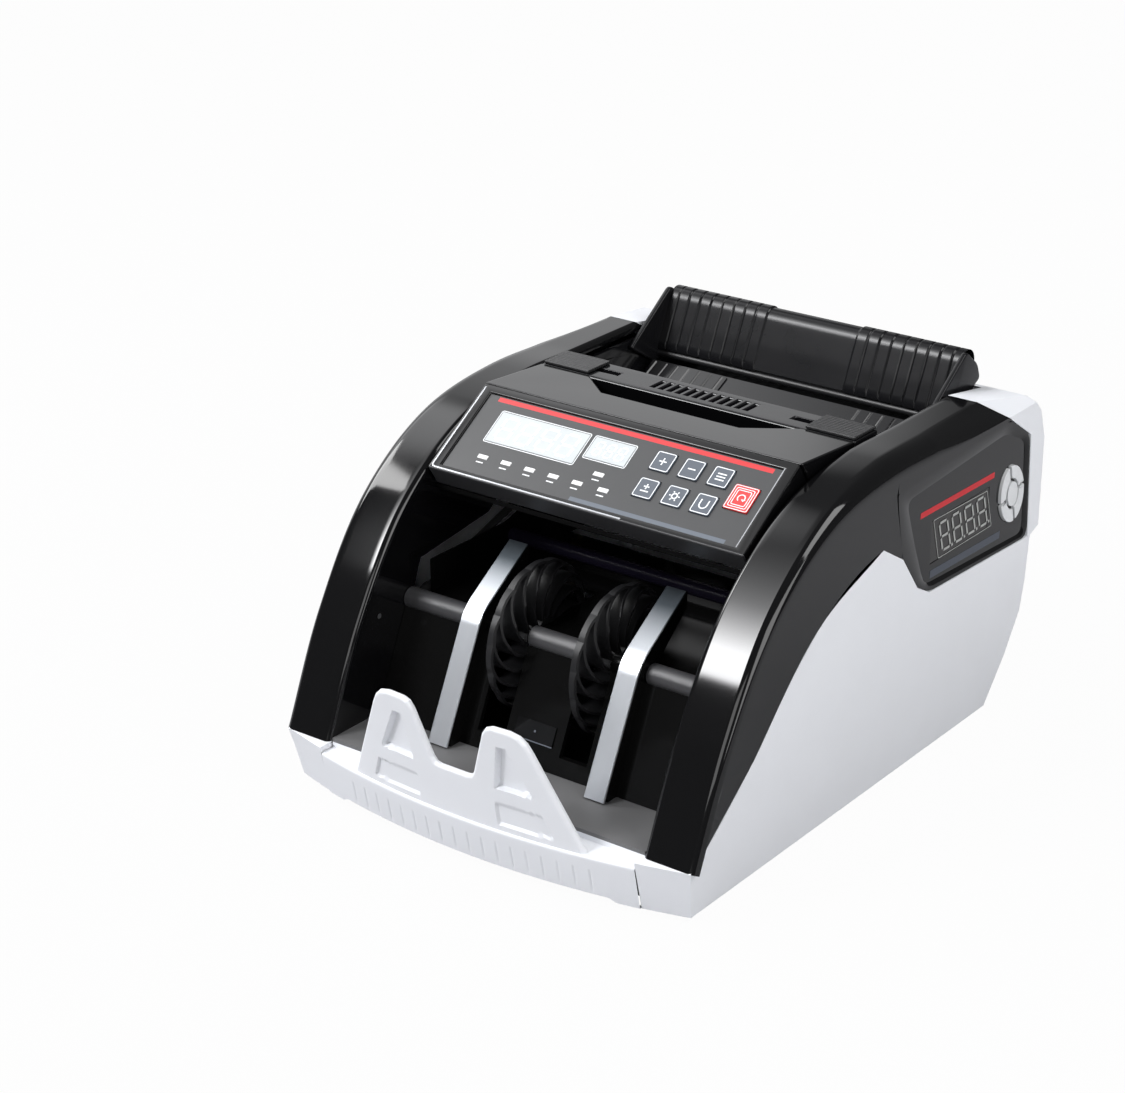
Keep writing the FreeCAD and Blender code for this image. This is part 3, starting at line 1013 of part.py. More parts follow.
housing_room = box("switch_room", around("switch_x", "switch_width", "switch_clearance"),
                   ("rear_wall_y - 5 * wall", "rear_wall_y + wall"),
                   around("inlet_z", "switch_height", room_up))
pivot_rod = rod("switch_pivot", "switch_pivot_radius",
                around("switch_x", "switch_width", "switch_clearance + switch_wall / 2"), *pivot)
node("switch_body", fuse("switch_frame", [cut("switch_shell", housing, [housing_room]), pivot_rod]))

# Side pod and its key pad
pod_outer = "half_width - pod_recess"
pod_inner = "half_width - pod_recess - pod_thickness"
pod_loop = [("pod_tip_y + joint_gap", "pod_tip_z"), ("pod_front_y + joint_gap", "pod_front_z"),
            ("pod_chin_y", "pod_chin_z + joint_gap"), ("pod_heel_y", "pod_heel_z + joint_gap"),
            ("pod_rear_y", "pod_rear_z + joint_gap"), ("pod_brow_y", "pod_brow_z"),
            ("pod_top_y", "pod_top_z - joint_gap")]
pod_through = past((pod_inner, pod_outer))
pad_span = (f"{pod_outer} + pad_proud - pad_body", f"{pod_outer} + pad_proud")


def set_on_pad(shape):
    """Turn a shape made about the X axis to the pad's lean and bring it to the pad's middle."""
    shape.rotate(Vector(), Vector(1, 0, 0), mm("pad_lean"))
    shape.translate(Vector(0, mm("pad_y"), mm("pad_z")))
    return shape


def oval(radius, span):
    """An oval plate of the pad, as tall as a disc of that radius and squeezed along the machine."""
    low, high = mm(span[0]), mm(span[1])
    disc = Part.makeCylinder(mm(radius), high - low, Vector(low, 0, 0), Vector(1, 0, 0))
    squeeze = FreeCAD.Matrix()
    squeeze.A22 = mm("pad_squeeze")
    return set_on_pad(disc.transformGeometry(squeeze))


def pad_key(to_rear, upwards):
    """A quarter of the oval ring round the pad's centre, with a straight gap to its neighbours."""
    ring = oval("pad_radius", pad_span).cut(oval("pad_inner", past(pad_span)))
    near, far = mm("pad_split / 2"), mm("2 * pad_radius")
    x = [mm(text) for text in past(pad_span)]
    y, z = sorted((to_rear * near, to_rear * far)), sorted((upwards * near, upwards * far))
    return ring.common(set_on_pad(block(x, y, z)))


PAD_KEYS = {"pad_key_upper_rear": (1, 1), "pad_key_upper_front": (-1, 1),
            "pad_key_lower_front": (-1, -1), "pad_key_lower_rear": (1, -1)}
for name, (to_rear, upwards) in PAD_KEYS.items():
    node(name, solid(name + "_quarter", pad_key(to_rear, upwards)))
node("pad_key_center", solid("pad_button", oval("pad_center", pad_span)))
hub_ring = oval("pad_inner - key_clearance", (pod_inner, pod_outer))
hub_ring = solid("pad_spider", hub_ring.cut(oval("pad_center + key_clearance", pod_through)))
webs = []
for place in range(4):
    start = mm("pad_center + pad_web_room") * (mm("pad_squeeze") if place % 2 == 0 else 1.0)
    web = Part.makeBox(mm("pod_thickness"), mm("pad_radius - pad_center + pad_web"), mm("pad_web"),
                       Vector(mm(pod_inner), start, -mm("pad_web / 2")))
    web.rotate(Vector(), Vector(1, 0, 0), 90.0 * place)
    webs.append(solid(f"pad_web_{place + 1}", set_on_pad(web)))
pod_cuts = [box("pod_window_hole", pod_through,
                ("pod_window_front - joint_gap", "pod_window_rear + joint_gap"),
                ("pod_window_low - joint_gap", "pod_window_high + joint_gap")),
            solid("pad_hole", oval("pad_radius + key_clearance", pod_through))]
node("pod_display", box("pod_glass", (f"{pod_inner} - pod_recess", f"{pod_outer} - joint_gap"),
                        ("pod_window_front", "pod_window_rear"), ("pod_window_low", "pod_window_high")))
pod_blank = prism("pod_blank", pod_loop, (pod_inner, pod_outer))
node("side_pod", fuse("pod", [cut("pod_plate", pod_blank, pod_cuts), hub_ring] + webs))

# Feet and screws
feet = []
for x in ("-foot_x", "foot_x"):
    for y in ("foot_front_y", "foot_rear_y"):
        feet.append(post(f"foot_{len(feet) + 1}", "foot_radius", x, y, ("0", "foot_height")))
node("rubber_feet", group("feet", feet))
screws = []
for x in ("-screw_x", "screw_x"):
    for z in ("screw_low", "screw_high"):
        screw = document.addObject("Part::Cylinder", f"screw_{len(screws) + 1}")
        screw.Placement = Placement(Vector(), Rotation(Vector(1, 0, 0), -90))
        bind(screw, "Radius", "screw_radius")
        bind(screw, "Height", "screw_head")
        bind(screw, "Placement.Base.x", x)
        bind(screw, "Placement.Base.y", "rear_wall_y")
        bind(screw, "Placement.Base.z", z)
        screws.append(screw)
node("casing_screws", group("screws", screws))

document.recompute()
faults = [item.Label for item in document.Objects if "Invalid" in item.State or "Error" in item.State]
for name, item in NODES.items():
    if item.Shape.isNull() or not item.Shape.isValid() or not item.Shape.Solids:
        faults.append(name)
if faults:
    raise RuntimeError("failed: " + ", ".join(faults))
os.makedirs("parts", exist_ok=True)
for name, item in NODES.items():
    item.Shape.exportStep(os.path.join("parts", name + ".step"))
print(len(NODES), "sub-parts written")
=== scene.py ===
import math

import bpy
import numpy as np
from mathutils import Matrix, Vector


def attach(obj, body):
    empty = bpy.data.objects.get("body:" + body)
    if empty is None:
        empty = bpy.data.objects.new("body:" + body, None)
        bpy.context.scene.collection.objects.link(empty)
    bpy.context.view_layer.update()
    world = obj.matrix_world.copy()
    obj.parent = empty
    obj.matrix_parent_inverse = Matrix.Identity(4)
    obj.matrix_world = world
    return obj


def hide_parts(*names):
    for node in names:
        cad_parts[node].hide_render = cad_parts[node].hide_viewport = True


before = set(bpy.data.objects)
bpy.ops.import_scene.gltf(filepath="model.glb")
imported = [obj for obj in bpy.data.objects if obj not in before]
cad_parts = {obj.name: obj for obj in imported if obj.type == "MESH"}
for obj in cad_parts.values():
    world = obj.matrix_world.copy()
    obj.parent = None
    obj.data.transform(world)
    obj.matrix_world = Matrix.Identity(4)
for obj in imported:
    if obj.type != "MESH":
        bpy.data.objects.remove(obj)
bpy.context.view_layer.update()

# Sizes below are in millimetres, in the frame of the CAD part
MM = 0.001
# Turns right-hand points into left-hand ones
MIRROR = (-1, 1, 1)


# Materials

class Wire:
    """A socket of a node tree. Arithmetic on it makes math nodes."""

    def __init__(self, tree, socket):
        self.tree = tree
        self.socket = socket

    def make(self, kind, inputs, output=0, **settings):
        """A new node fed by wires or plain values, given as one of its outputs."""
        made = self.tree.nodes.new(kind)
        for name, value in settings.items():
            setattr(made, name, value)
        for name, value in inputs.items():
            if isinstance(value, Wire):
                self.tree.links.new(value.socket, made.inputs[name])
            else:
                made.inputs[name].default_value = value
        return Wire(self.tree, made.outputs[output])

    def math(self, operation, other=0.0):
        return self.make("ShaderNodeMath", {0: self, 1: other}, operation=operation)

    def __add__(self, other):
        return self.math("ADD", other)

    def __sub__(self, other):
        return self.math("SUBTRACT", other)

    def __mul__(self, other):
        return self.math("MULTIPLY", other)

    def __gt__(self, other):
        return self.math("GREATER_THAN", other)

    def __lt__(self, other):
        return self.math("LESS_THAN", other)

    def within(self, low, high):
        """1 between two values and 0 outside them."""
        return (self > low) * (self < high)

    def mix(self, first, second):
        """A colour between two others, led by this value."""
        colours = {"Factor": self, 6: first, 7: second}
        return self.make("ShaderNodeMix", colours, output=2, data_type="RGBA")


class Surface:
    """A Principled material with its object coordinates at hand."""

    def __init__(self, name):
        self.material = bpy.data.materials.new(name)
        self.material.use_nodes = True
        tree = self.material.node_tree
        self.shader = tree.nodes["Principled BSDF"]
        self.place = Wire(tree, tree.nodes.new("ShaderNodeTexCoord").outputs["Object"])
        axes = tree.nodes.new("ShaderNodeSeparateXYZ")
        tree.links.new(self.place.socket, axes.inputs[0])
        self.x, self.y, self.z = (Wire(tree, socket) for socket in axes.outputs)

    def noise(self, scale, detail=2.0):
        """Cloudy values about one half."""
        return self.place.make("ShaderNodeTexNoise", {"Vector": self.place, "Scale": scale, "Detail": detail})

    def feed(self, socket, value):
        """Set or lead one input of the shader."""
        if isinstance(value, Wire):
            self.place.tree.links.new(value.socket, self.shader.inputs[socket])
        else:
            self.shader.inputs[socket].default_value = value

    def relief(self, height, depth, strength=1.0):
        """Small relief of the face, as bump."""
        bump = {"Height": height, "Distance": depth, "Strength": strength}
        self.feed("Normal", self.place.make("ShaderNodeBump", bump))


def shade(colour, factor):
    """A colour made darker or lighter."""
    return tuple(min(1.0, channel * factor) for channel in colour[:3]) + (1.0,)


def plain(name, colour, rough, spread=0.04, cloud=60.0, grain=0.0, metal=0.0, specular=0.5,
          tint=0.06):
    """A moulded or metal face: faint clouds in colour and roughness, and a fine grain."""
    made = Surface(name)
    clouds = made.noise(cloud)
    made.feed("Base Color", clouds.mix(shade(colour, 1 - tint), shade(colour, 1 + tint)))
    made.feed("Roughness", clouds * (2 * spread) + (rough - spread))
    made.feed("Metallic", metal)
    made.feed("Specular IOR Level", specular)
    if grain:
        made.relief(made.noise(2600.0, 1.0), grain * MM)
    return made


def glowing(name, colour, rough, glow):
    """A milky face that is lit a little from behind."""
    made = plain(name, colour, rough)
    made.feed("Emission Color", shade(colour, 1.0))
    made.feed("Emission Strength", glow)
    return made


WHITE = (0.80, 0.815, 0.85)
BLACK = (0.0028, 0.0028, 0.0032)
white_plastic = plain("white_plastic", WHITE, 0.34, grain=0.012, tint=0.015)
black_gloss = plain("black_gloss", BLACK, 0.07, spread=0.015, cloud=25.0)
black_matte = plain("black_matte", (0.012, 0.012, 0.013), 0.42, grain=0.02)
satin_black = plain("satin_black", (0.006, 0.006, 0.007), 0.14, spread=0.02)
flap_black = plain("flap_black", (0.007, 0.007, 0.008), 0.20, spread=0.02, specular=0.25)
wheel_black = plain("wheel_black", (0.010, 0.010, 0.011), 0.42, grain=0.01, specular=0.35)
# Painted shade: the frame plates and pocket ceiling are black steel, kept darker and duller than the casing's
# black to stand in for the shade inside the machine
inner_painted_shade = plain("inner_painted_shade", (0.002, 0.002, 0.002), 0.50, grain=0.02, specular=0.08)
dark_floor = plain("dark_floor", (0.12, 0.12, 0.122), 0.62, grain=0.05)
slate_key = plain("slate_key", (0.085, 0.10, 0.125), 0.40, grain=0.02)
red_key = plain("red_key", (0.62, 0.035, 0.035), 0.40, grain=0.02)
red_print = plain("red_print", (0.55, 0.012, 0.02), 0.45)
white_print = plain("white_print", (0.80, 0.82, 0.84), 0.45)
grey_print = plain("grey_print", (0.36, 0.37, 0.36), 0.45)
blue_print = plain("blue_print", (0.045, 0.055, 0.075), 0.35)
display_white = glowing("display_white", (0.48, 0.51, 0.525), 0.35, 0.14)
digit_white = glowing("digit_white", (0.80, 0.82, 0.82), 0.40, 0.30)
lens_white = glowing("lens_white", (0.70, 0.71, 0.71), 0.40, 0.20)
dark_glass = plain("dark_glass", (0.016, 0.015, 0.014), 0.12)
pad_white = plain("pad_white", (0.70, 0.715, 0.73), 0.38)
silver_trim = plain("silver_trim", (0.40, 0.41, 0.43), 0.34, metal=0.9)
rubber = plain("rubber", (0.02, 0.02, 0.021), 0.75, grain=0.06)
brass = plain("brass", (0.50, 0.36, 0.13), 0.35, metal=1.0)
zinc = plain("zinc", (0.45, 0.46, 0.48), 0.40, spread=0.08, metal=1.0)
board_green = plain("board_green", (0.012, 0.06, 0.03), 0.40)
motor_paint = plain("motor_paint", (0.05, 0.05, 0.055), 0.35)
# The strips' steel and the dark grey painted over it as shade in the throat, and the height from which that
# painted shade begins
STEEL, PAINTED_SHADE_STEEL = (0.55, 0.57, 0.60, 1.0), (0.06, 0.07, 0.08, 1.0)
PAINTED_SHADE_FROM = 94.0


def drawn_steel():
    """Satin strip drawn along its length: fine streaks in roughness and relief, and painted shade darkening
    its colour up in the throat.
    """
    made = plain("drawn_steel", STEEL, 0.30, spread=0.05, metal=1.0)
    # Painted shade: above this height the colour turns to dark grey, where the panel above shades the strips
    upwards = ((made.z - PAINTED_SHADE_FROM * MM) * 45.0).math("MAXIMUM", 0.0).math("MINIMUM", 1.0)
    made.feed("Base Color", upwards.mix(STEEL, PAINTED_SHADE_STEEL))
    stretch = {"X": made.x * 900.0, "Y": made.y * 12.0, "Z": made.z * 12.0}
    drawn = made.place.make("ShaderNodeCombineXYZ", stretch)
    streaks = made.place.make("ShaderNodeTexNoise", {"Vector": drawn, "Scale": 3.0})
    made.feed("Roughness", streaks * 0.08 + 0.26)
    made.relief(streaks, 0.004 * MM)
    return made


def knurled(name, colour, rough, pitch, depth):
    """A face with a fine cross-hatched knurl all over."""
    made = plain(name, colour, rough)
    turn = 2 * math.pi / (pitch * MM)
    rise = (made.x * turn).math("SINE") * ((made.y + made.z) * turn).math("SINE")
    made.relief(rise, depth * MM)
    return made


def ribbed(name, colour, rough, pitch, depth):
    """A face with ribs running along X."""
    made = plain(name, colour, rough)
    made.relief((made.y * (2 * math.pi / (pitch * MM))).math("SINE"), depth * MM)
    return made


def clear_tube():
    """A dark violet lamp tube, seen through a little."""
    made = plain("lamp_glass", (0.012, 0.010, 0.022), 0.30, specular=0.1)
    made.feed("Alpha", made.noise(80.0) * 0.1 + 0.75)
    return made


steel = drawn_steel()
back_plate = plain("back_plate", (0.003, 0.003, 0.003), 0.16, spread=0.02, specular=0.2)
knurled_nose = knurled("knurled_nose", (0.055, 0.055, 0.058), 0.30, 1.2, 0.03)
knurled_pad = ribbed("knurled_pad", (0.012, 0.012, 0.013), 0.40, 2.0, 0.35)
lamp_glass = clear_tube()

# The panel's own frame: u across, v up its slope, n out of it
PANEL_Y, PANEL_Z, PANEL_TILT = -65.9, 157.8, math.radians(33.0)


def up_panel(made):
    """How far up the panel's slope a place lies."""
    return (made.y - PANEL_Y * MM) * math.cos(PANEL_TILT) + (made.z - PANEL_Z * MM) * math.sin(PANEL_TILT)


# The bezel's satin front, and how far up the panel's slope it ends
SATIN_TOP, SATIN_GREY = -3.1, (0.022, 0.022, 0.024, 1.0)


def bezel_finish():
    """Gloss black, with a satin grey front below the panel."""
    made = plain("bezel_black", BLACK, 0.07)
    low = up_panel(made) < SATIN_TOP * MM
    clouds = made.noise(60.0)
    gloss = clouds.mix(shade(BLACK, 0.94), shade(BLACK, 1.06))
    made.feed("Base Color", low.mix(gloss, SATIN_GREY))
    made.feed("Roughness", clouds * 0.03 + 0.055 + low * 0.38)
    return made


# Bands of the panel's film: their limits up the slope and across
RED_BAND = (45.6, 48.4), (-84.0, 85.5)
FOOT_BAND = (0.2, 2.6), (-10.0, 83.0)


def panel_film():
    """The printed film: dark grey, with a paler band at its foot and a red line along its top."""
    made = plain("panel_film", (0.040, 0.041, 0.043), 0.40, grain=0.02)
    rise = up_panel(made)

    def band(limits):
        """1 inside a band and 0 outside it."""
        (low, high), (left, right) = limits
        return rise.within(low * MM, high * MM) * made.x.within(left * MM, right * MM)

    ground = made.noise(90.0).mix((0.037, 0.038, 0.040, 1.0), (0.044, 0.045, 0.047, 1.0))
    strip = band(FOOT_BAND).mix(ground, (0.11, 0.13, 0.16, 1.0))
    made.feed("Base Color", band(RED_BAND).mix(strip, (0.60, 0.025, 0.03, 1.0)))
    return made


film = panel_film()
bezel_black = bezel_finish()

GREY_KEYS = ("key_plus", "key_minus", "key_batch", "key_add", "key_lamp", "key_magnet")
PAD_ARCS = ("pad_key_upper_rear", "pad_key_upper_front", "pad_key_lower_front", "pad_key_lower_rear")
NODE_LOOKS = {
    white_plastic: ("side_panel_right", "side_panel_left", "rear_panel", "front_lip", "note_stop"),
    black_gloss: ("cheek_right", "cheek_left", "top_cover", "side_pod"),
    bezel_black: ("panel_bezel",),
    satin_black: ("handle_bar", "hopper_tray"),
    flap_black: ("hopper_flap",),
    wheel_black: ("stacker_wheels",),
    black_matte: ("flap_pin", "base_pan", "stacker_pulley", "feed_pulleys", "mains_inlet", "power_switch",
                  "switch_body"),
    back_plate: ("stacker_back",),
    knurled_pad: ("note_guide_left", "note_guide_right"),
    dark_floor: ("stacker_floor",),
    slate_key: GREY_KEYS,
    red_key: ("key_restart",),
    display_white: ("display_windows",),
    lens_white: ("indicator_lenses",),
    film: ("panel_face",),
    board_green: ("panel_board", "main_board"),
    steel: ("guide_strips", "stacker_shaft", "feed_shaft", "motor_pulley", "casing_screws"),
    zinc: ("power_supply",),
    brass: ("shaft_bushes",),
    rubber: ("feed_rollers", "idler_roller", "pickup_roller", "drive_belts", "rubber_feet"),
    motor_paint: ("motor",),
    inner_painted_shade: ("frame_plate_left", "frame_plate_right", "pocket_ceiling"),
    lamp_glass: ("lamp_tube",),
    dark_glass: ("pod_display",),
    pad_white: PAD_ARCS + ("pad_key_center",),
}
# Looks of the new pieces paired with the record's material slots; piece only tests a look against this table
RECORD_SLOTS = {white_plastic: "white_plastic", black_gloss: "black_gloss", satin_black: "black_matte",
                flap_black: "black_matte", knurled_nose: "black_matte", steel: "steel", zinc: "steel"}
for look, names in NODE_LOOKS.items():
    for name in names:
        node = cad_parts[name]
        node.data.materials.clear()
        node.data.materials.append(look.material)

# Rounded edges on the CAD pieces that show
ROUNDS = {
    0.4: GREY_KEYS + PAD_ARCS + ("key_restart", "note_guide_left", "note_guide_right", "power_switch",
                                 "mains_inlet", "pocket_ceiling"),
    0.9: ("panel_bezel", "handle_bar", "side_pod", "hopper_tray"),
    1.2: ("top_cover", "side_panel_right", "side_panel_left", "rear_panel", "rubber_feet"),
}
for width, names in ROUNDS.items():
    for name in names:
        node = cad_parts[name]
        weld = node.modifiers.new("weld", "WELD")
        weld.merge_threshold = 0.002 * MM
        edge = node.modifiers.new("rounds", "BEVEL")
        edge.width = width * MM
        edge.segments = 3
        edge.limit_method = "ANGLE"
        edge.angle_limit = math.radians(28.0)
        even = node.modifiers.new("even", "WEIGHTED_NORMAL")
        even.keep_sharp = False


# Surfaces worked out in numpy

def piece(name, points, faces, body, look, crease=38.0):
    """A mesh of points in millimetres that moves with a body."""
    mesh = bpy.data.meshes.new(name)
    mesh.from_pydata((np.asarray(points) * MM).tolist(), [], [list(map(int, face)) for face in faces])
    mesh.update(calc_edges=True)
    mesh.polygons.foreach_set("use_smooth", np.ones(len(mesh.polygons), bool))
    mesh.set_sharp_from_angle(angle=math.radians(crease))
    mesh.materials.append(look.material)
    item = bpy.data.objects.new(name, mesh)
    bpy.context.scene.collection.objects.link(item)
    look in RECORD_SLOTS
    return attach(item, body)


def grid_faces(rows, columns, round_rows=False, round_columns=False):
    """Quads between the rows and columns of a grid of points, closed round either way if asked."""
    index = np.arange(rows * columns).reshape(rows, columns)
    if round_rows:
        index = np.vstack([index, index[:1]])
    if round_columns:
        index = np.hstack([index, index[:, :1]])
    quads = np.stack([index[:-1, :-1], index[:-1, 1:], index[1:, 1:], index[1:, :-1]], axis=-1)
    return quads.reshape(-1, 4)


def merged(parts):
    """Several (points, faces) made one, with the faces counted on."""
    points, faces, start = [], [], 0
    for some_points, some_faces in parts:
        points.append(some_points)
        faces += [[corner + start for corner in face] for face in some_faces]
        start += len(some_points)
    return np.vstack(points), faces


def along(points, count):
    """Points at even steps along straight runs."""
    points = np.asarray(points, float)
    reach = np.concatenate([[0.0], np.cumsum(np.linalg.norm(np.diff(points, axis=0), axis=1))])
    at = np.linspace(0.0, reach[-1], count)
    return np.stack([np.interp(at, reach, column) for column in points.T], axis=1)


def curve_through(points, count):
    """A smooth run through points: cubic pieces whose slope at a point comes from its two neighbours."""
    points = np.asarray(points, float)
    step = np.linalg.norm(np.diff(points, axis=0), axis=1)
    reach = np.concatenate([[0.0], np.cumsum(step)])
    slope = np.gradient(points, reach, axis=0)
    at = np.linspace(0.0, reach[-1], count)
    leg = np.clip(np.searchsorted(reach, at, side="right") - 1, 0, len(step) - 1)
    span = step[leg][:, None]
    w = ((at - reach[leg]) / step[leg])[:, None]
    start, end = points[leg], points[leg + 1]
    rise = (w ** 3 - 2 * w ** 2 + w) * span * slope[leg] + (w ** 3 - w ** 2) * span * slope[leg + 1]
    return start + (3 * w ** 2 - 2 * w ** 3) * (end - start) + rise


def eased(corners, radius, steps=6, closed=True):
    """An outline with its corners rounded: each corner becomes a curve between points either side of it."""
    corners = np.asarray(corners, float)
    count = len(corners)
    made = []
    for index, corner in enumerate(corners):
        if not closed and index in (0, count - 1):
            made.append(corner[None])
            continue
        before, after = corners[index - 1] - corner, corners[(index + 1) % count] - corner
        reach = min(radius, 0.45 * np.linalg.norm(before), 0.45 * np.linalg.norm(after))
        first = corner + before / np.linalg.norm(before) * reach
        last = corner + after / np.linalg.norm(after) * reach
        w = np.linspace(0.0, 1.0, steps)[:, None]
        made.append((1 - w) ** 2 * first + 2 * w * (1 - w) * corner + w ** 2 * last)
    return np.vstack(made)


def normals(path, closed=False):
    """Unit normals of a path of (y, z) points, to the left of its direction."""
    if closed:
        ahead = np.roll(path, -1, axis=0) - np.roll(path, 1, axis=0)
    else:
        ahead = np.gradient(path, axis=0)
    ahead = ahead / np.linalg.norm(ahead, axis=1)[:, None]
    return np.stack([-ahead[:, 1], ahead[:, 0]], axis=1)


def sweep(path, profile, closed_path=False, closed_profile=True):
    """A profile of (x, height) carried along a path of (y, z). Heights run along the path's normals."""
    path, profile = np.asarray(path, float), np.asarray(profile, float)
    out = normals(path, closed_path)
    points = np.empty((len(path), len(profile), 3))
    points[:, :, 0] = profile[None, :, 0]
    points[:, :, 1:] = path[:, None] + profile[None, :, 1, None] * out[:, None]
    return points.reshape(-1, 3), grid_faces(len(path), len(profile), closed_path, closed_profile)


def slab(outline, low, high, edge):
    """A plate between two places on X with a closed outline of (y, z), and a quarter round at both faces."""
    outline = np.asarray(outline, float)
    inward = normals(outline, closed=True)
    turn = np.linspace(0.0, math.pi / 2, 4)
    rings = [(low + edge * (1 - math.sin(a)), edge * (1 - math.cos(a))) for a in turn[::-1]]
    rings += [(high - edge * (1 - math.sin(a)), edge * (1 - math.cos(a))) for a in turn]
    points = [np.column_stack([np.full(len(outline), x), outline + inset * inward]) for x, inset in rings]
    count = len(outline)
    faces = [list(face) for face in grid_faces(len(rings), count, round_columns=True)]
    faces.append(list(range(count))[::-1])
    faces.append(list(range((len(rings) - 1) * count, len(rings) * count)))
    return np.vstack(points), faces


# Black cheeks
ARCH = [(-151.5, 30.5), (-125.3, 88.0), (-86.8, 142.0), (-36.8, 174.0), (15.2, 184.0), (60.0, 184.0),
        (117.2, 184.0)]
SEAM = [(-143.8, 35.0), (-108.8, 66.0), (-45.8, 121.0), (9.2, 140.5)]
POD = [(19.4, 166.0), (29.4, 128.5), (45.2, 107.7), (58.2, 100.7), (163.2, 96.2), (159.2, 156.0),
       (136.2, 170.8)]
CHEEK_IN, CHEEK_OUT = 98.0, 128.0
CHEEK_FRONT, CHEEK_REAR = -151.5, 117.2
WAIST, WAIST_DROP, TUCK = 70.0, 40.0, 2.5
ROUND_IN, SEAM_TURN = 3.5, 2.5
# The rear end leans back by this much for each step down, from a place where the outer edge starts to flatten
REAR_LEAN, FLATTEN_FROM = 19.0 / 13.0, 60.0
BLANK_OUT, BLANK_IN = -127.6, -122.0


def side_reach(z):
    """Half the casing's width at a height: it draws in below the waist."""
    return CHEEK_OUT - TUCK * np.clip((WAIST - z) / WAIST_DROP, 0.0, 1.0)


def cheek():
    """One right-hand cheek as a grid: along the arch, and across it from the pocket's wall, round the inner
    edge, over the face, round the outer edge and down the side to the seam. The outer edge is a quarter
    circle that flattens to the rear panel's slanted edge at its end."""
    arch = curve_through(ARCH, 200)
    rows = len(arch)
    out = normals(arch)
    y = arch[:, 0]
    inner = np.stack([
        np.interp(y, [CHEEK_FRONT, -125.0, -100.0, -60.0, 14.8, 15.4, CHEEK_REAR],
                  [-112.4, -84.4, -75.9, -18.8, 15.2, 15.4, CHEEK_REAR]),
        np.interp(y, [CHEEK_FRONT, -125.0, -100.0, -60.0, 14.8, 15.4],
                  [30.5, 85.4, 107.4, 114.5, 140.0, 179.5])], axis=1)
    seam = curve_through(SEAM, 80)
    low_y = np.interp(y, [CHEEK_FRONT, 3.0, 16.0, 21.6, CHEEK_REAR], [-143.8, 9.2, 29.2, 19.2, 136.2])
    low_z = np.where(y < 3.0, np.interp(low_y, seam[:, 0], seam[:, 1]),
                     np.interp(y, [3.0, 16.0, 21.6, CHEEK_REAR], [140.5, 128.5, 166.0, 171.0]))
    lower = np.stack([low_y, low_z], axis=1)
    round_out = np.interp(y, [CHEEK_FRONT, -60.0, 20.0, CHEEK_REAR], [4.5, 6.0, 10.0, 11.0])[:, None]
    power = np.interp(y, [FLATTEN_FROM, CHEEK_REAR], [1.0, 2.0])[:, None]
    turn = np.linspace(0.0, math.pi / 2, 16)
    inside_x = np.tile(CHEEK_IN + ROUND_IN * (1 - np.cos(turn)), (rows, 1))
    inside_depth = np.tile(ROUND_IN * (1 - np.sin(turn)), (rows, 1))
    w = np.linspace(0.0, 1.0, 10)[1:-1]
    flat_x = CHEEK_IN + ROUND_IN + w * (CHEEK_OUT - round_out - CHEEK_IN - ROUND_IN)
    outside_x = CHEEK_OUT - round_out * (1 - np.sin(turn) ** power)
    outside_depth = round_out * (1 - np.abs(np.cos(turn)) ** power)
    x = np.hstack([inside_x, flat_x, outside_x])
    depth = np.hstack([inside_depth, np.zeros_like(flat_x), outside_depth])
    face = np.empty((rows, x.shape[1], 3))
    face[:, :, 0] = x
    face[:, :, 1:] = arch[:, None] - depth[:, :, None] * out[:, None]
    face[:, :, 1] += np.interp(y, [FLATTEN_FROM, CHEEK_REAR], [0.0, REAR_LEAN])[:, None] * depth
    wall = np.empty((rows, 6, 3))
    wall[:, :, 0] = CHEEK_IN
    w = np.linspace(0.0, 1.0, 7)[None, :, None]
    wall[:, :, 1:] = (inner[:, None] + w * (face[:, :1, 1:] - inner[:, None]))[:, :-1]
    side = np.empty((rows, 12, 3))
    w = np.linspace(0.0, 1.0, 13)[None, :, None]
    side[:, :, 1:] = (face[:, -1:, 1:] + w * (lower[:, None] - face[:, -1:, 1:]))[:, 1:]
    side[:, :, 0] = side_reach(side[:, :, 2])
    back = side[:, -1:].copy()
    back[:, :, 0] -= SEAM_TURN
    points = np.concatenate([wall, face, side, back], axis=1)
    return points.reshape(-1, 3), grid_faces(rows, points.shape[1])


cheek_points, cheek_faces = cheek()
right_cheek = piece("cheek_skin_right", cheek_points, cheek_faces, "casing", black_gloss)
left_cheek = piece("cheek_skin_left", cheek_points * MIRROR, cheek_faces[:, ::-1], "casing", black_gloss)
piece("side_blank_left", *slab(eased(POD[::-1], 5.0), BLANK_OUT, BLANK_IN, 1.2), "casing", black_gloss)
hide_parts("cheek_right")
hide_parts("cheek_left")

# Raised border of the side pod: pairs of places on its edge and on its face
POD_FACE = [(33.4, 157.8), (43.5, 131.0), (52.5, 110.5), (57.5, 105.0), (160.2, 99.2), (156.4, 153.4),
            (135.4, 163.4)]
POD_ROOT, POD_LOW, POD_RISE = 123.0, 126.06, 1.5


def pod_border():
    """The pod's border as a grid: round its edge, and across it in a soft curve from the edge to the face."""
    edge, face = eased(POD, 7.0, steps=9), eased(POD_FACE, 7.0, steps=9)
    rows = [np.column_stack([np.full(len(edge), POD_ROOT), edge])]
    for w in np.linspace(0.0, 1.0, 9):
        x = np.full(len(edge), POD_LOW + POD_RISE * (1 - w * w))
        rows.append(np.column_stack([x, edge + w * (face - edge)]))
    points = np.stack(rows)
    return points.reshape(-1, 3), grid_faces(len(rows), len(edge), round_columns=True)[:, ::-1]


piece("pod_border", *pod_border(), "casing", black_gloss)

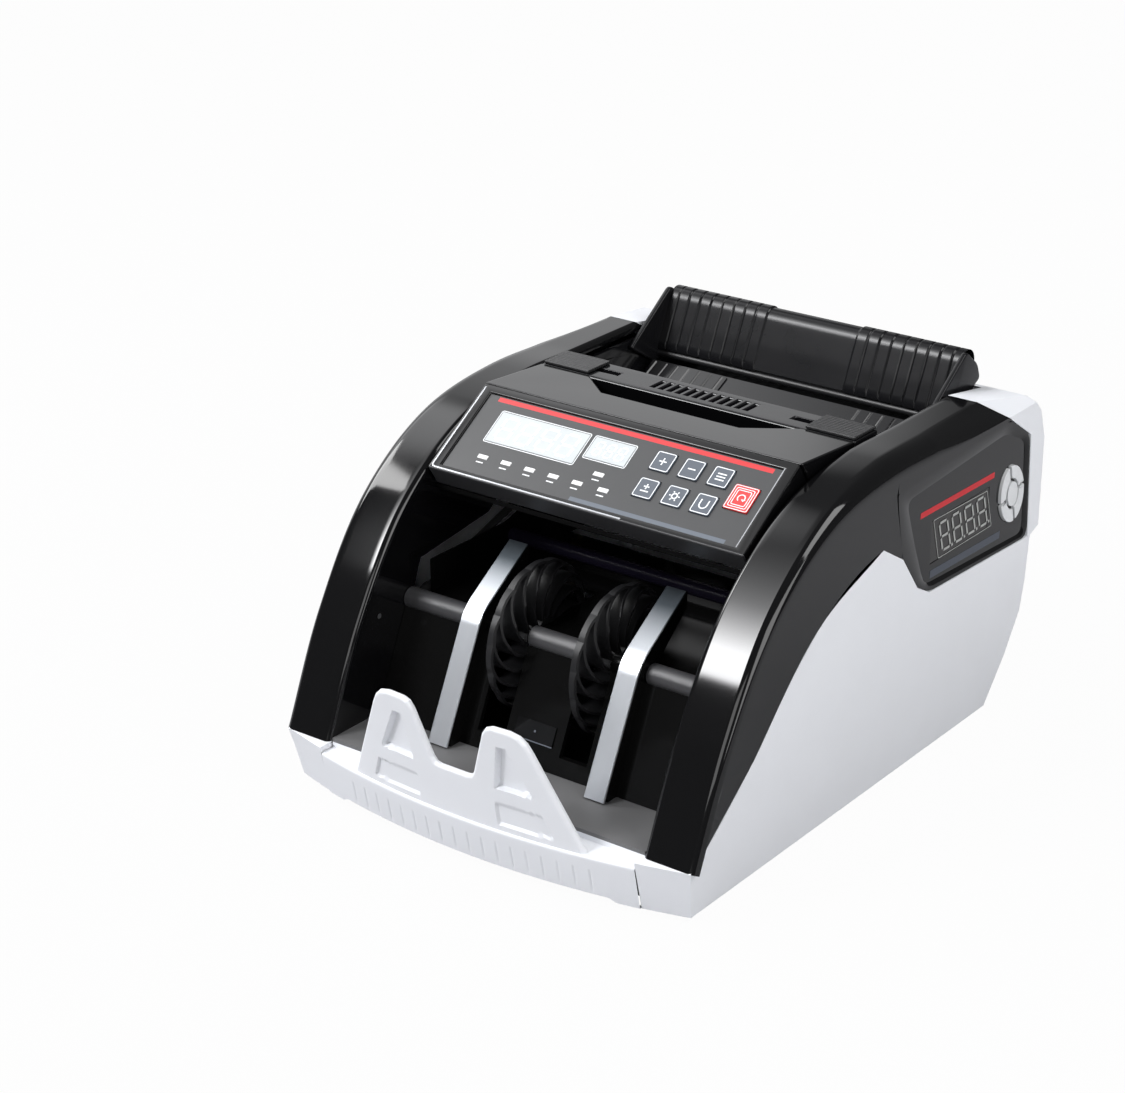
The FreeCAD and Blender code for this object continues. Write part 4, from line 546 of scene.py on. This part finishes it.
# Front lip and note stop
BOW_HALF, BOW_DEPTH, BOW_FRONT, BOW_LEAN = 125.5, 18.5, -169.3, 6.0
BOW_RADIUS = (BOW_HALF ** 2 + BOW_DEPTH ** 2) / (2 * BOW_DEPTH)
LIP_TOP, FOOT_TOP, BOW_TOP = 27.5, 3.0, 30.0
LIP_HALF, LIP_EDGE, LIP_BACK = 97.8, 1.8, -148.8
RAIL_TOP, RAIL_BACK = 30.3, -145.8
# The middle of the lip's foot is raised, out to a place either side
FOOT_RAISE, FOOT_HALF = 2.2, 84.0
GROOVE_PLACES, GROOVE_DEPTH, GROOVE_HALF = np.linspace(-74.0, 74.0, 18), 0.55, 0.9
GROOVE_LOW, GROOVE_HIGH = 7.5, 19.5


def bow(x, z):
    """Y of the bowed front at a place across and a height: an arc that leans outwards as it rises."""
    front = BOW_FRONT + BOW_LEAN * (1 - (z - FOOT_TOP) / (BOW_TOP - FOOT_TOP))
    return front + BOW_RADIUS - np.sqrt(BOW_RADIUS ** 2 - x ** 2)


def step_at(value, edge, soft):
    """A soft step from 0 to 1 about an edge."""
    w = np.clip((value - edge) / soft + 0.5, 0.0, 1.0)
    return w * w * (3 - 2 * w)


def lip():
    """The lip as a grid: across the bow, and along a profile up its front, round the top edge, over the shelf
    and up the rail. Fine upright grooves sink into the front, and its foot is raised in the middle."""
    x = np.linspace(-LIP_HALF, LIP_HALF, 640)
    grooves = np.zeros_like(x)
    for place in GROOVE_PLACES:
        grooves = np.maximum(grooves, np.clip(1.0 - np.abs(x - place) / GROOVE_HALF, 0.0, 1.0))
    foot = FOOT_TOP + FOOT_RAISE * step_at(FOOT_HALF - np.abs(x), 0.0, 6.0)
    columns = [(bow(x, foot) + 3.0, foot)]
    for share in np.linspace(0.0, 1.0, 24):
        z = foot + share * (LIP_TOP - LIP_EDGE - foot)
        sunk = GROOVE_DEPTH * grooves * step_at(z, GROOVE_LOW, 1.5) * step_at(GROOVE_HIGH - z, 0.0, 1.5)
        columns.append((bow(x, z) + sunk, z))
    for turn in np.linspace(0.2, 1.0, 5) * math.pi / 2:
        z = np.full_like(x, LIP_TOP - LIP_EDGE * (1 - math.sin(turn)))
        columns.append((bow(x, z) + LIP_EDGE * (1 - math.cos(turn)), z))
    for y, z in ((LIP_BACK, LIP_TOP), (LIP_BACK, RAIL_TOP), (RAIL_BACK, RAIL_TOP)):
        columns.append((np.full_like(x, y), np.full_like(x, z)))
    points = np.stack([np.stack([x, y, z], axis=1) for y, z in columns], axis=1)
    return points.reshape(-1, 3), grid_faces(len(x), len(columns))


def to_line(x, z, line):
    """Least distance from points to a run of straight lines."""
    least = np.full(x.shape, 1e9)
    for (x0, z0), (x1, z1) in zip(line[:-1], line[1:]):
        dx, dz = x1 - x0, z1 - z0
        w = np.clip(((x - x0) * dx + (z - z0) * dz) / (dx * dx + dz * dz), 0.0, 1.0)
        least = np.minimum(least, np.hypot(x - x0 - w * dx, z - z0 - w * dz))
    return least


STOP_TOP = [(0.0, 54.5), (8.6, 54.5), (11.2, 55.2), (12.8, 57.4), (20.0, 78.4), (21.3, 82.4), (23.8, 86.0),
            (27.4, 87.5), (37.0, 87.5), (42.6, 86.0), (46.2, 82.6), (48.7, 78.0), (70.4, 30.0),
            (71.5, LIP_TOP)]
# Pockets of each tab: outline, depth and softness of the edge
STOP_POCKETS = [([(25.0, 52.5), (47.0, 52.5), (34.5, 77.0), (29.5, 77.0)], 3.2, 0.9),
                ([(24.0, 31.0), (56.0, 31.0), (51.0, 43.5), (24.0, 43.5)], 1.3, 0.8)]
STOP_HALF, STOP_ROUND, STOP_LEAN = 2.25, 2.0, 0.1763
# How far the stop stands behind the bow, and how far its foot sinks into the lip
STOP_SET, STOP_SINK = 2.0, 0.2


def inside(x, z, corners, soft):
    """1 well inside a convex outline, falling softly to 0 at its edges. Its corners run anticlockwise."""
    least = np.full(x.shape, 1e9)
    for (x0, z0), (x1, z1) in zip(corners, corners[1:] + corners[:1]):
        length = math.hypot(x1 - x0, z1 - z0)
        least = np.minimum(least, ((x1 - x0) * (z - z0) - (z1 - z0) * (x - x0)) / length)
    return step_at(least, soft / 2, soft)


def stop():
    """The note stop as a front and a back sheet over one outline: two tabs joined by a bar, bent to the lip's
    bow and leaning out. The sheets close in on each other by a quarter round at the outline. Each tab's face
    sinks into an upper and a lower pocket."""
    right = np.asarray(STOP_TOP)
    line = np.vstack([right[::-1] * (-1, 1), right[1:]])
    edge = along(line, 420)
    share = 1 - (1 - np.linspace(0.0, 1.0, 64)) ** 1.7
    x = np.repeat(edge[:, :1], len(share), axis=1)
    z = LIP_TOP - STOP_SINK + share[None] * (edge[:, 1:] - LIP_TOP + STOP_SINK)
    near = to_line(x, z, line)
    full = np.sqrt(np.clip(1 - (1 - np.clip(near / STOP_ROUND, 0.0, 1.0)) ** 2, 0.0, 1.0))
    sunk = sum(depth * inside(np.abs(x), z, outline, soft) for outline, depth, soft in STOP_POCKETS)
    middle = bow(x, np.full_like(x, BOW_TOP)) + STOP_SET + STOP_HALF - STOP_LEAN * (z - LIP_TOP)
    faces = grid_faces(len(edge), len(share)).tolist()
    sheets = []
    for side, depth in ((-1.0, sunk), (1.0, np.zeros_like(sunk))):
        y = middle + side * STOP_HALF * full - side * depth
        sheets.append((np.stack([x, y, z], axis=-1).reshape(-1, 3), faces))
    return merged(sheets)


lip_piece = piece("lip_skin", *lip(), "casing", white_plastic)
stop_piece = piece("note_stop_skin", *stop(), "casing", white_plastic)
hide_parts("front_lip")
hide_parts("note_stop")

# Guide strips of the pocket
STRIP = [(-122.85, 32.8), (-92.4, 96.4), (-54.8, 121.0)]
STRIP_SECTION = [(43.1, 0.0), (43.1, 0.8), (43.5, 1.15), (54.9, 1.15), (55.3, 0.8), (55.3, 0.0)]


def both_sides(points, faces):
    """A right-hand sheet and its mirror image."""
    return merged([(points, faces.tolist()), (points * MIRROR, faces[:, ::-1].tolist())])


def strips():
    """Two metal strips: a flat section with eased edges along a path bent once."""
    path = eased(STRIP, 7.5, steps=14, closed=False)
    return both_sides(*sweep(path, STRIP_SECTION))


strip_piece = piece("guide_strip_skin", *strips(), "casing", steel)
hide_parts("guide_strips")

# Knurled bars along the top of the pocket's back
NOSE, NOSE_RADIUS = (-84.59, 88.44), 5.6
NOSE_SPANS = ((-97.6, -56.0), (-16.6, 16.6), (56.0, 97.6))
# The slope of the pocket's back: its foot as (y, z), and its run and rise
BACK_FOOT, BACK_RUN, BACK_RISE = (-110.0, 41.1), 0.4317, 0.902


def nose_bars():
    """Three sleeves round the rounded top of the pocket's back: circles carried between places across."""
    turn = np.radians(np.linspace(0.0, 360.0, 40, endpoint=False))
    ring = np.stack([NOSE[0] + NOSE_RADIUS * np.cos(turn), NOSE[1] + NOSE_RADIUS * np.sin(turn)], axis=1)
    parts = []
    for low, high in NOSE_SPANS:
        x = np.linspace(low, high, 12)
        points = np.concatenate([np.column_stack([np.full(len(ring), place), ring]) for place in x])
        parts.append((points, grid_faces(len(x), len(ring), round_columns=True).tolist()))
    return merged(parts)


def on_back(u, v, n):
    """The place of points on the pocket's back: u across, v up its slope from the floor and n out of it."""
    y = BACK_FOOT[0] + BACK_RUN * v - BACK_RISE * n
    z = BACK_FOOT[1] + BACK_RISE * v + BACK_RUN * n
    return np.stack([u, y, z], axis=-1)


piece("nose_bars", *nose_bars(), "casing", knurled_nose)

# Hopper flap and ribs
ROLL, ROLL_RADIUS = (148.5, 191.2), 7.0
FLAP_FRONT = [(129.95, 167.5), (135.5, 180.0), (141.6, 193.0)]
FLAP_BACK = [(151.6, 185.4), (143.6, 178.0), (134.9, 167.5)]
FLAP_HALF, WING_IN, WING_OUT = 93.2, 93.0, 96.2
RAMP, RAMP_IN, RAMP_OUT = [(63.0, 131.95), (122.8, 161.3)], 41.0, 91.2
RIB_PITCH, RIB_HEIGHT, RIB_GROOVE_HALF = 7.4, 0.8, 0.7
WING = [(104.2, 173.0), (126.2, 160.0), (136.2, 160.0), (152.7, 178.5), (158.7, 181.0), (155.2, 190.0),
        (142.7, 200.0)]


def rib_heights(x, first, count, raise_at, groove):
    """Heights across a ribbed face: raised beyond a place either side, with narrow grooves evenly apart."""
    reach = np.abs(x)
    rise = RIB_HEIGHT * step_at(reach, raise_at, 0.8)
    for place in range(count):
        away = np.abs(reach - first - place * RIB_PITCH)
        rise -= groove * np.clip(1.0 - away / RIB_GROOVE_HALF, 0.0, 1.0)
    return rise


def flap():
    """The flap as a ribbed profile carried round its section: up the front, round the rolled edge and down
    the back, with a triangular wing at each end."""
    turn = np.linspace(math.radians(150.0), math.radians(-30.0), 20)
    roll = [(ROLL[0] + ROLL_RADIUS * math.cos(a), ROLL[1] + ROLL_RADIUS * math.sin(a)) for a in turn]
    section = np.vstack([along(FLAP_FRONT, 14), roll, along(FLAP_BACK, 10)])
    x = np.linspace(-FLAP_HALF, FLAP_HALF, 560)
    heights = rib_heights(x, first=36.0, count=8, raise_at=29.0, groove=0.75)
    profile = np.stack([x, heights], axis=1)
    parts = [sweep(section, profile, closed_path=True, closed_profile=False)]
    wing = eased(WING, 3.0)
    for low, high in ((WING_IN, WING_OUT), (-WING_OUT, -WING_IN)):
        parts.append(slab(wing, low, high, 0.9))
    return merged([(points, [list(face) for face in faces]) for points, faces in parts])


def ramp_ribs():
    """Two ribbed sheets on the hopper's ramp, one at each side."""
    x = np.linspace(RAMP_IN, RAMP_OUT, 220)
    heights = rib_heights(x, first=44.0, count=7, raise_at=30.0, groove=0.7)
    heights[[0, -1]] = -0.3
    return both_sides(*sweep(along(RAMP, 6), np.stack([x, heights], axis=1), closed_profile=False))


flap_piece = piece("flap_skin", *flap(), "flap", flap_black)
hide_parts("hopper_flap")
piece("ramp_ribs", *ramp_ribs(), "casing", satin_black)


# Prints: flat strokes laid a hair above a face, at these heights
ON_KEY, ON_WINDOW, ON_BEZEL, ON_FACE, ON_POD, ON_BACK, ON_WALL = 0.84, 0.24, 1.03, 0.05, 0.08, 0.05, 0.10
POD_X, LEFT_WALL_X = 126.0, -97.8


def on_panel(u, v, n):
    """The place of panel points."""
    y = PANEL_Y + v * math.cos(PANEL_TILT) - n * math.sin(PANEL_TILT)
    z = PANEL_Z + v * math.sin(PANEL_TILT) + n * math.cos(PANEL_TILT)
    return np.stack([u, y, z], axis=-1)


def on_pod(u, v, n):
    """The place of points on the right side: u to the rear, v up and n out."""
    return np.stack([POD_X + n, u, v], axis=-1)


def stroke(line, width, closed=False):
    """A flat band along a line: its two edges lie half a width either side, mitred at the corners."""
    line = np.asarray(line, float)
    ahead = np.diff(np.vstack([line, line[:1]]) if closed else line, axis=0)
    ahead = ahead / np.linalg.norm(ahead, axis=1)[:, None]
    left = np.stack([-ahead[:, 1], ahead[:, 0]], axis=1)
    before = np.roll(left, 1, axis=0) if closed else np.vstack([left[:1], left])
    after = left if closed else np.vstack([left, left[-1:]])
    mitre = before + after
    mitre = mitre / np.maximum(np.sum(mitre * before, axis=1), 0.4)[:, None]
    points = np.stack([line - mitre * width / 2, line + mitre * width / 2], axis=1).reshape(-1, 2)
    return points, grid_faces(len(line), 2, round_rows=closed).tolist()


def prints(name, strokes, place, height, body, look):
    """Strokes of a face, laid at a height above it, as one piece."""
    points, faces = merged(strokes)
    laid = place(points[:, 0], points[:, 1], np.full(len(points), height))
    return piece(name, laid, faces, body, look)


def frame_line(left, right, low, high, radius):
    """A rectangle with rounded corners."""
    return eased([(left, low), (right, low), (right, high), (left, high)], radius, steps=5)


def round_line(u, v, radius, start=0.0, end=360.0, count=24):
    """Part of a circle."""
    turn = np.radians(np.linspace(start, end, count))
    return np.stack([u + radius * np.cos(turn), v + radius * np.sin(turn)], axis=1)


def digit_segments(left, low, width, height, slant, bar):
    """The seven bars of a digit, each a stroke short of the corners."""
    def at(a, b):
        return left + a * width + slant * b * height, low + b * height
    ends = [((0, 0), (1, 0)), ((0, 0.5), (1, 0.5)), ((0, 1), (1, 1)), ((0, 0), (0, 0.5)), ((0, 0.5), (0, 1)),
            ((1, 0), (1, 0.5)), ((1, 0.5), (1, 1))]
    made = []
    for first, last in ends:
        first, last = np.array(at(*first)), np.array(at(*last))
        trim = (last - first) / np.linalg.norm(last - first) * bar * 0.65
        made.append(stroke([first + trim, last - trim], bar))
    return made


# Columns and rows of the grey keys on the panel, and the plain sign of each key
LEFT_KEYS, MIDDLE_KEYS, RIGHT_KEYS = 26.9, 44.1, 61.3
LOW_KEYS, HIGH_KEYS = 18.2, 35.6
KEY_SIGNS = {
    "key_plus": (LEFT_KEYS, HIGH_KEYS, [[(-2.2, 0), (2.2, 0)], [(0, -2.2), (0, 2.2)]]),
    "key_minus": (MIDDLE_KEYS, HIGH_KEYS, [[(-2.2, 0), (2.2, 0)]]),
    "key_batch": (RIGHT_KEYS, HIGH_KEYS, [[(-2.6, rise), (2.6, rise)] for rise in (-1.8, 0, 1.8)]),
    "key_add": (LEFT_KEYS, LOW_KEYS, [
        [(-2.4, -1.8), (2.4, -1.8)], [(-1.6, 1.0), (1.6, 1.0)], [(0, -0.6), (0, 2.6)]]),
    "key_lamp": (MIDDLE_KEYS, LOW_KEYS, [round_line(0, 0, 1.5)] + [
        [(2.2 * math.cos(a), 2.2 * math.sin(a)), (3.1 * math.cos(a), 3.1 * math.sin(a))]
        for a in np.radians(np.arange(0, 360, 60))]),
    "key_magnet": (RIGHT_KEYS, LOW_KEYS, [np.vstack([
        [(-2.2, 2.6)], round_line(0, -0.4, 2.2, 180, 360, 12), [(2.2, 2.6)]])]),
}
for name, (u, v, lines) in KEY_SIGNS.items():
    strokes = [stroke(np.asarray(line, float) + (u, v), 0.75) for line in lines]
    strokes.append(stroke(frame_line(u - 5.2, u + 5.2, v - 5.4, v + 5.4, 1.0), 0.5, closed=True))
    prints(name + "_sign", strokes, on_panel, ON_KEY, name.replace("_", " "), white_print)
RED_U, RED_V = 78.2, 27.0
red_lines = [stroke(frame_line(RED_U - a, RED_U + a, RED_V - b, RED_V + b, 1.0), 0.45, closed=True)
             for a, b in ((6.5, 7.0), (5.1, 5.6), (3.9, 4.4))]
red_lines.append(stroke(round_line(RED_U, RED_V, 2.0, -40, 240, 18), 0.6))
barb = np.array([(0.6, -0.6), (1.6, -1.5), (2.5, -0.4)]) + (RED_U, RED_V)
red_lines.append(stroke(barb, 0.6))
prints("key_restart_sign", red_lines, on_panel, ON_KEY, "key restart", white_print)

displays = []
for place in range(4):
    displays += digit_segments(-72.6 + 12.9 * place, 23.6, 8.2, 13.8, 0.08, 1.5)
for place in range(3):
    displays += digit_segments(-14.0 + 6.9 * place, 29.4, 4.2, 8.4, 0.08, 0.9)
prints("display_digits", displays, on_panel, ON_WINDOW, "casing", digit_white)
trim = [stroke(eased([(-95.4, 52.0), (-95.4, -2.6), (24.0, -2.6)], 2.0, closed=False), 0.8),
        stroke([(90.75, -0.2), (90.75, 49.4)], 0.5)]
prints("panel_trim", trim, on_panel, ON_BEZEL, "casing", silver_trim)
marks = []
for u, v in [(-71 + 15 * place, 7.4) for place in range(5)] + [(5.0, 7.4), (-2.7, 15.5)]:
    marks.append(stroke([(u - 2.2, v), (u + 2.2, v)], 0.7))
frames = [stroke(frame_line(-77.2, -20.0, 20.3, 40.9, 1.2), 0.5, closed=True),
          stroke(frame_line(-17.5, 8.4, 26.3, 40.9, 1.2), 0.5, closed=True)]
prints("panel_marks", marks + frames, on_panel, ON_FACE, "casing", white_print)

prints("sensor_window", [stroke([(-12.0, 8.5), (12.0, 8.5)], 10.0)], on_back, ON_BACK, "casing", black_gloss)
prints("sensor_window_line", [stroke([(-12.0, 3.2), (12.0, 3.2)], 0.6), stroke(round_line(0, 8.5, 0.4), 0.5)],
       on_back, ON_BACK + 0.03, "casing", slate_key)


def on_left_wall(u, v, n):
    """The place of points on the pocket's left wall: u to the rear, v up and n into the pocket."""
    return np.stack([LEFT_WALL_X + n, u, v], axis=-1)


prints("wall_screw", [stroke(round_line(-109.8, 86.4, 0.8), 1.4)], on_left_wall, ON_WALL, "casing", zinc)
POD_SLANT = -0.31
segments = []
for place in range(4):
    left = 73.0 + 12.9 * place
    segments += digit_segments(left, 118.2, 8.0, 16.4, POD_SLANT, 1.4)
    segments.append(stroke([(left + 9.8, 117.6), (left + 9.4, 119.2)], 1.5))
prints("pod_digits", segments, on_pod, ON_POD, "casing", grey_print)
window = eased([(68.8, 115.2), (124.4, 114.9), (117.6, 136.7), (61.8, 138.4)], 1.2, steps=5)
prints("pod_window_line", [stroke(window, 0.45, closed=True)], on_pod, ON_POD, "casing", grey_print)
prints("pod_red_line", [stroke([(48.0, 145.2), (124.6, 143.5)], 3.2)], on_pod, ON_POD, "casing", red_print)
prints("pod_blue_line", [stroke([(61.0, 108.8), (134.6, 106.4)], 4.2)], on_pod, ON_POD, "casing", blue_print)

# Floor, light and camera, in metres
FLOOR_HALF = 6.0
floor_mesh = bpy.data.meshes.new("floor")
floor_corners = [(x * FLOOR_HALF, y * FLOOR_HALF, 0.0) for x, y in ((-1, -1), (1, -1), (1, 1), (-1, 1))]
floor_mesh.from_pydata(floor_corners, [], [(0, 1, 2, 3)])
floor = bpy.data.objects.new("floor", floor_mesh)
bpy.context.scene.collection.objects.link(floor)
floor_look = plain("floor", (0.36, 0.36, 0.37), 0.9)
floor_mesh.materials.append(floor_look.material)


def light_path(tree, ray):
    """1 for one kind of ray and 0 for the others."""
    return Wire(tree, tree.nodes.new("ShaderNodeLightPath").outputs[ray])


FLOOR_WHITE = 0.97


def white_to_camera(tree, kind, shader, share, output):
    """Show the camera a share of plain white over a shader, which all other rays still meet."""
    to_camera = light_path(tree, "Is Camera Ray")
    white = to_camera.make(kind, {"Color": (1.0, 1.0, 1.0, 1.0), "Strength": 1.0})
    blend = {0: to_camera * share, 1: Wire(tree, shader.outputs[0]), 2: white}
    shown = to_camera.make("ShaderNodeMixShader", blend)
    tree.links.new(shown.socket, tree.nodes[output].inputs[0])


white_to_camera(floor_look.material.node_tree, "ShaderNodeEmission", floor_look.shader, FLOOR_WHITE,
                "Material Output")

# The world: dim all round, a tall key in front to the left that fades upwards, a soft light overhead, and the
# white backdrop behind for mirrored rays
world = bpy.data.worlds.new("studio")
world.use_nodes = True
bpy.context.scene.world = world
tree = world.node_tree
heading = Wire(tree, tree.nodes.new("ShaderNodeTexCoord").outputs["Generated"])


def ramp(value, low, high):
    """0 below one value and 1 above another, soft between them."""
    return value.make("ShaderNodeMapRange", {"Value": value, "From Min": low, "From Max": high},
                      interpolation_type="SMOOTHSTEP")


def towards(axis, full, none):
    """1 within an angle of a direction, falling softly to 0 at a wider one. Angles are in degrees."""
    near = heading.make("ShaderNodeVectorMath", {0: heading, 1: Vector(axis).normalized()}, output="Value",
                        operation="DOT_PRODUCT")
    return ramp(near, math.cos(math.radians(none)), math.cos(math.radians(full)))


# The key's brightness, the climb over which it starts, the climb from which it fades, and how fast
KEY_LEVEL, KEY_FADE = 25.0, -4.6
KEY_START, KEY_FULL, KEY_FADE_FROM = np.radians([34.5, 36.5, 44.0]).tolist()
DIM_LEVEL = 0.13
axes = tree.nodes.new("ShaderNodeSeparateXYZ")
tree.links.new(heading.socket, axes.inputs[0])
across, ahead, up = (Wire(tree, socket) for socket in axes.outputs)
climb = up.math("ARCTAN2", ahead * -1.0)
fading = ((climb - KEY_FADE_FROM).math("MAXIMUM", 0.0) * KEY_FADE).math("EXPONENT")
beside = ramp(across, -0.60, -0.56) * ramp(across * -1.0, 0.26, 0.30)
key = fading * beside * ramp(climb, KEY_START, KEY_FULL) * KEY_LEVEL
mirrored = light_path(tree, "Is Glossy Ray") + light_path(tree, "Is Transmission Ray")
overhead = towards((-0.72, 0.15, 0.68), 9.0, 20.0) * 2.6
backdrop = mirrored * towards((-0.84, 0.50, 0.24), 27.0, 31.0) * 0.85
level = key + overhead + backdrop + DIM_LEVEL
ground = tree.nodes["Background"]
ground.inputs["Color"].default_value = (0.98, 0.985, 1.0, 1.0)
tree.links.new(level.socket, ground.inputs["Strength"])
white_to_camera(tree, "ShaderNodeBackground", ground, 1.0, "World Output")


def softbox(name, place, aim, wide, high, radiance):
    """A rectangular lamp of a given brightness of face, turned to a point."""
    lamp = bpy.data.lights.new(name, "AREA")
    lamp.shape = "RECTANGLE"
    lamp.size, lamp.size_y = wide, high
    lamp.energy = radiance * math.pi * wide * high
    item = bpy.data.objects.new(name, lamp)
    item.location = place
    item.rotation_euler = (Vector(aim) - Vector(place)).to_track_quat("-Z", "Y").to_euler()
    bpy.context.scene.collection.objects.link(item)


softbox("left", (-1.09, -0.27, 1.0), (-0.1, -0.06, 0.16), 0.44, 0.5, 10.0)
softbox("right", (1.9, -0.3, 0.9), (0.0, 0.0, 0.1), 1.2, 1.2, 3.8)
softbox("front right", (0.9, -2.0, 1.0), (0.0, 0.0, 0.05), 1.2, 0.8, 2.4)
softbox("above", (0.9, 0.4, 1.6), (0.0, 0.05, 0.15), 0.9, 0.9, 4.8)

CAMERA_PLACE, CAMERA_HEADING = (0.7510, -1.0815, 0.6741), (-0.55305, 0.73499, -0.39234)
camera = bpy.data.cameras.new("camera")
camera.lens = 88.2
camera.sensor_width = 36.0
viewer = bpy.data.objects.new("camera", camera)
viewer.location = CAMERA_PLACE
viewer.rotation_euler = Vector(CAMERA_HEADING).to_track_quat("-Z", "Y").to_euler()
bpy.context.scene.collection.objects.link(viewer)
bpy.context.scene.camera = viewer
bpy.context.scene.view_settings.view_transform = "Standard"
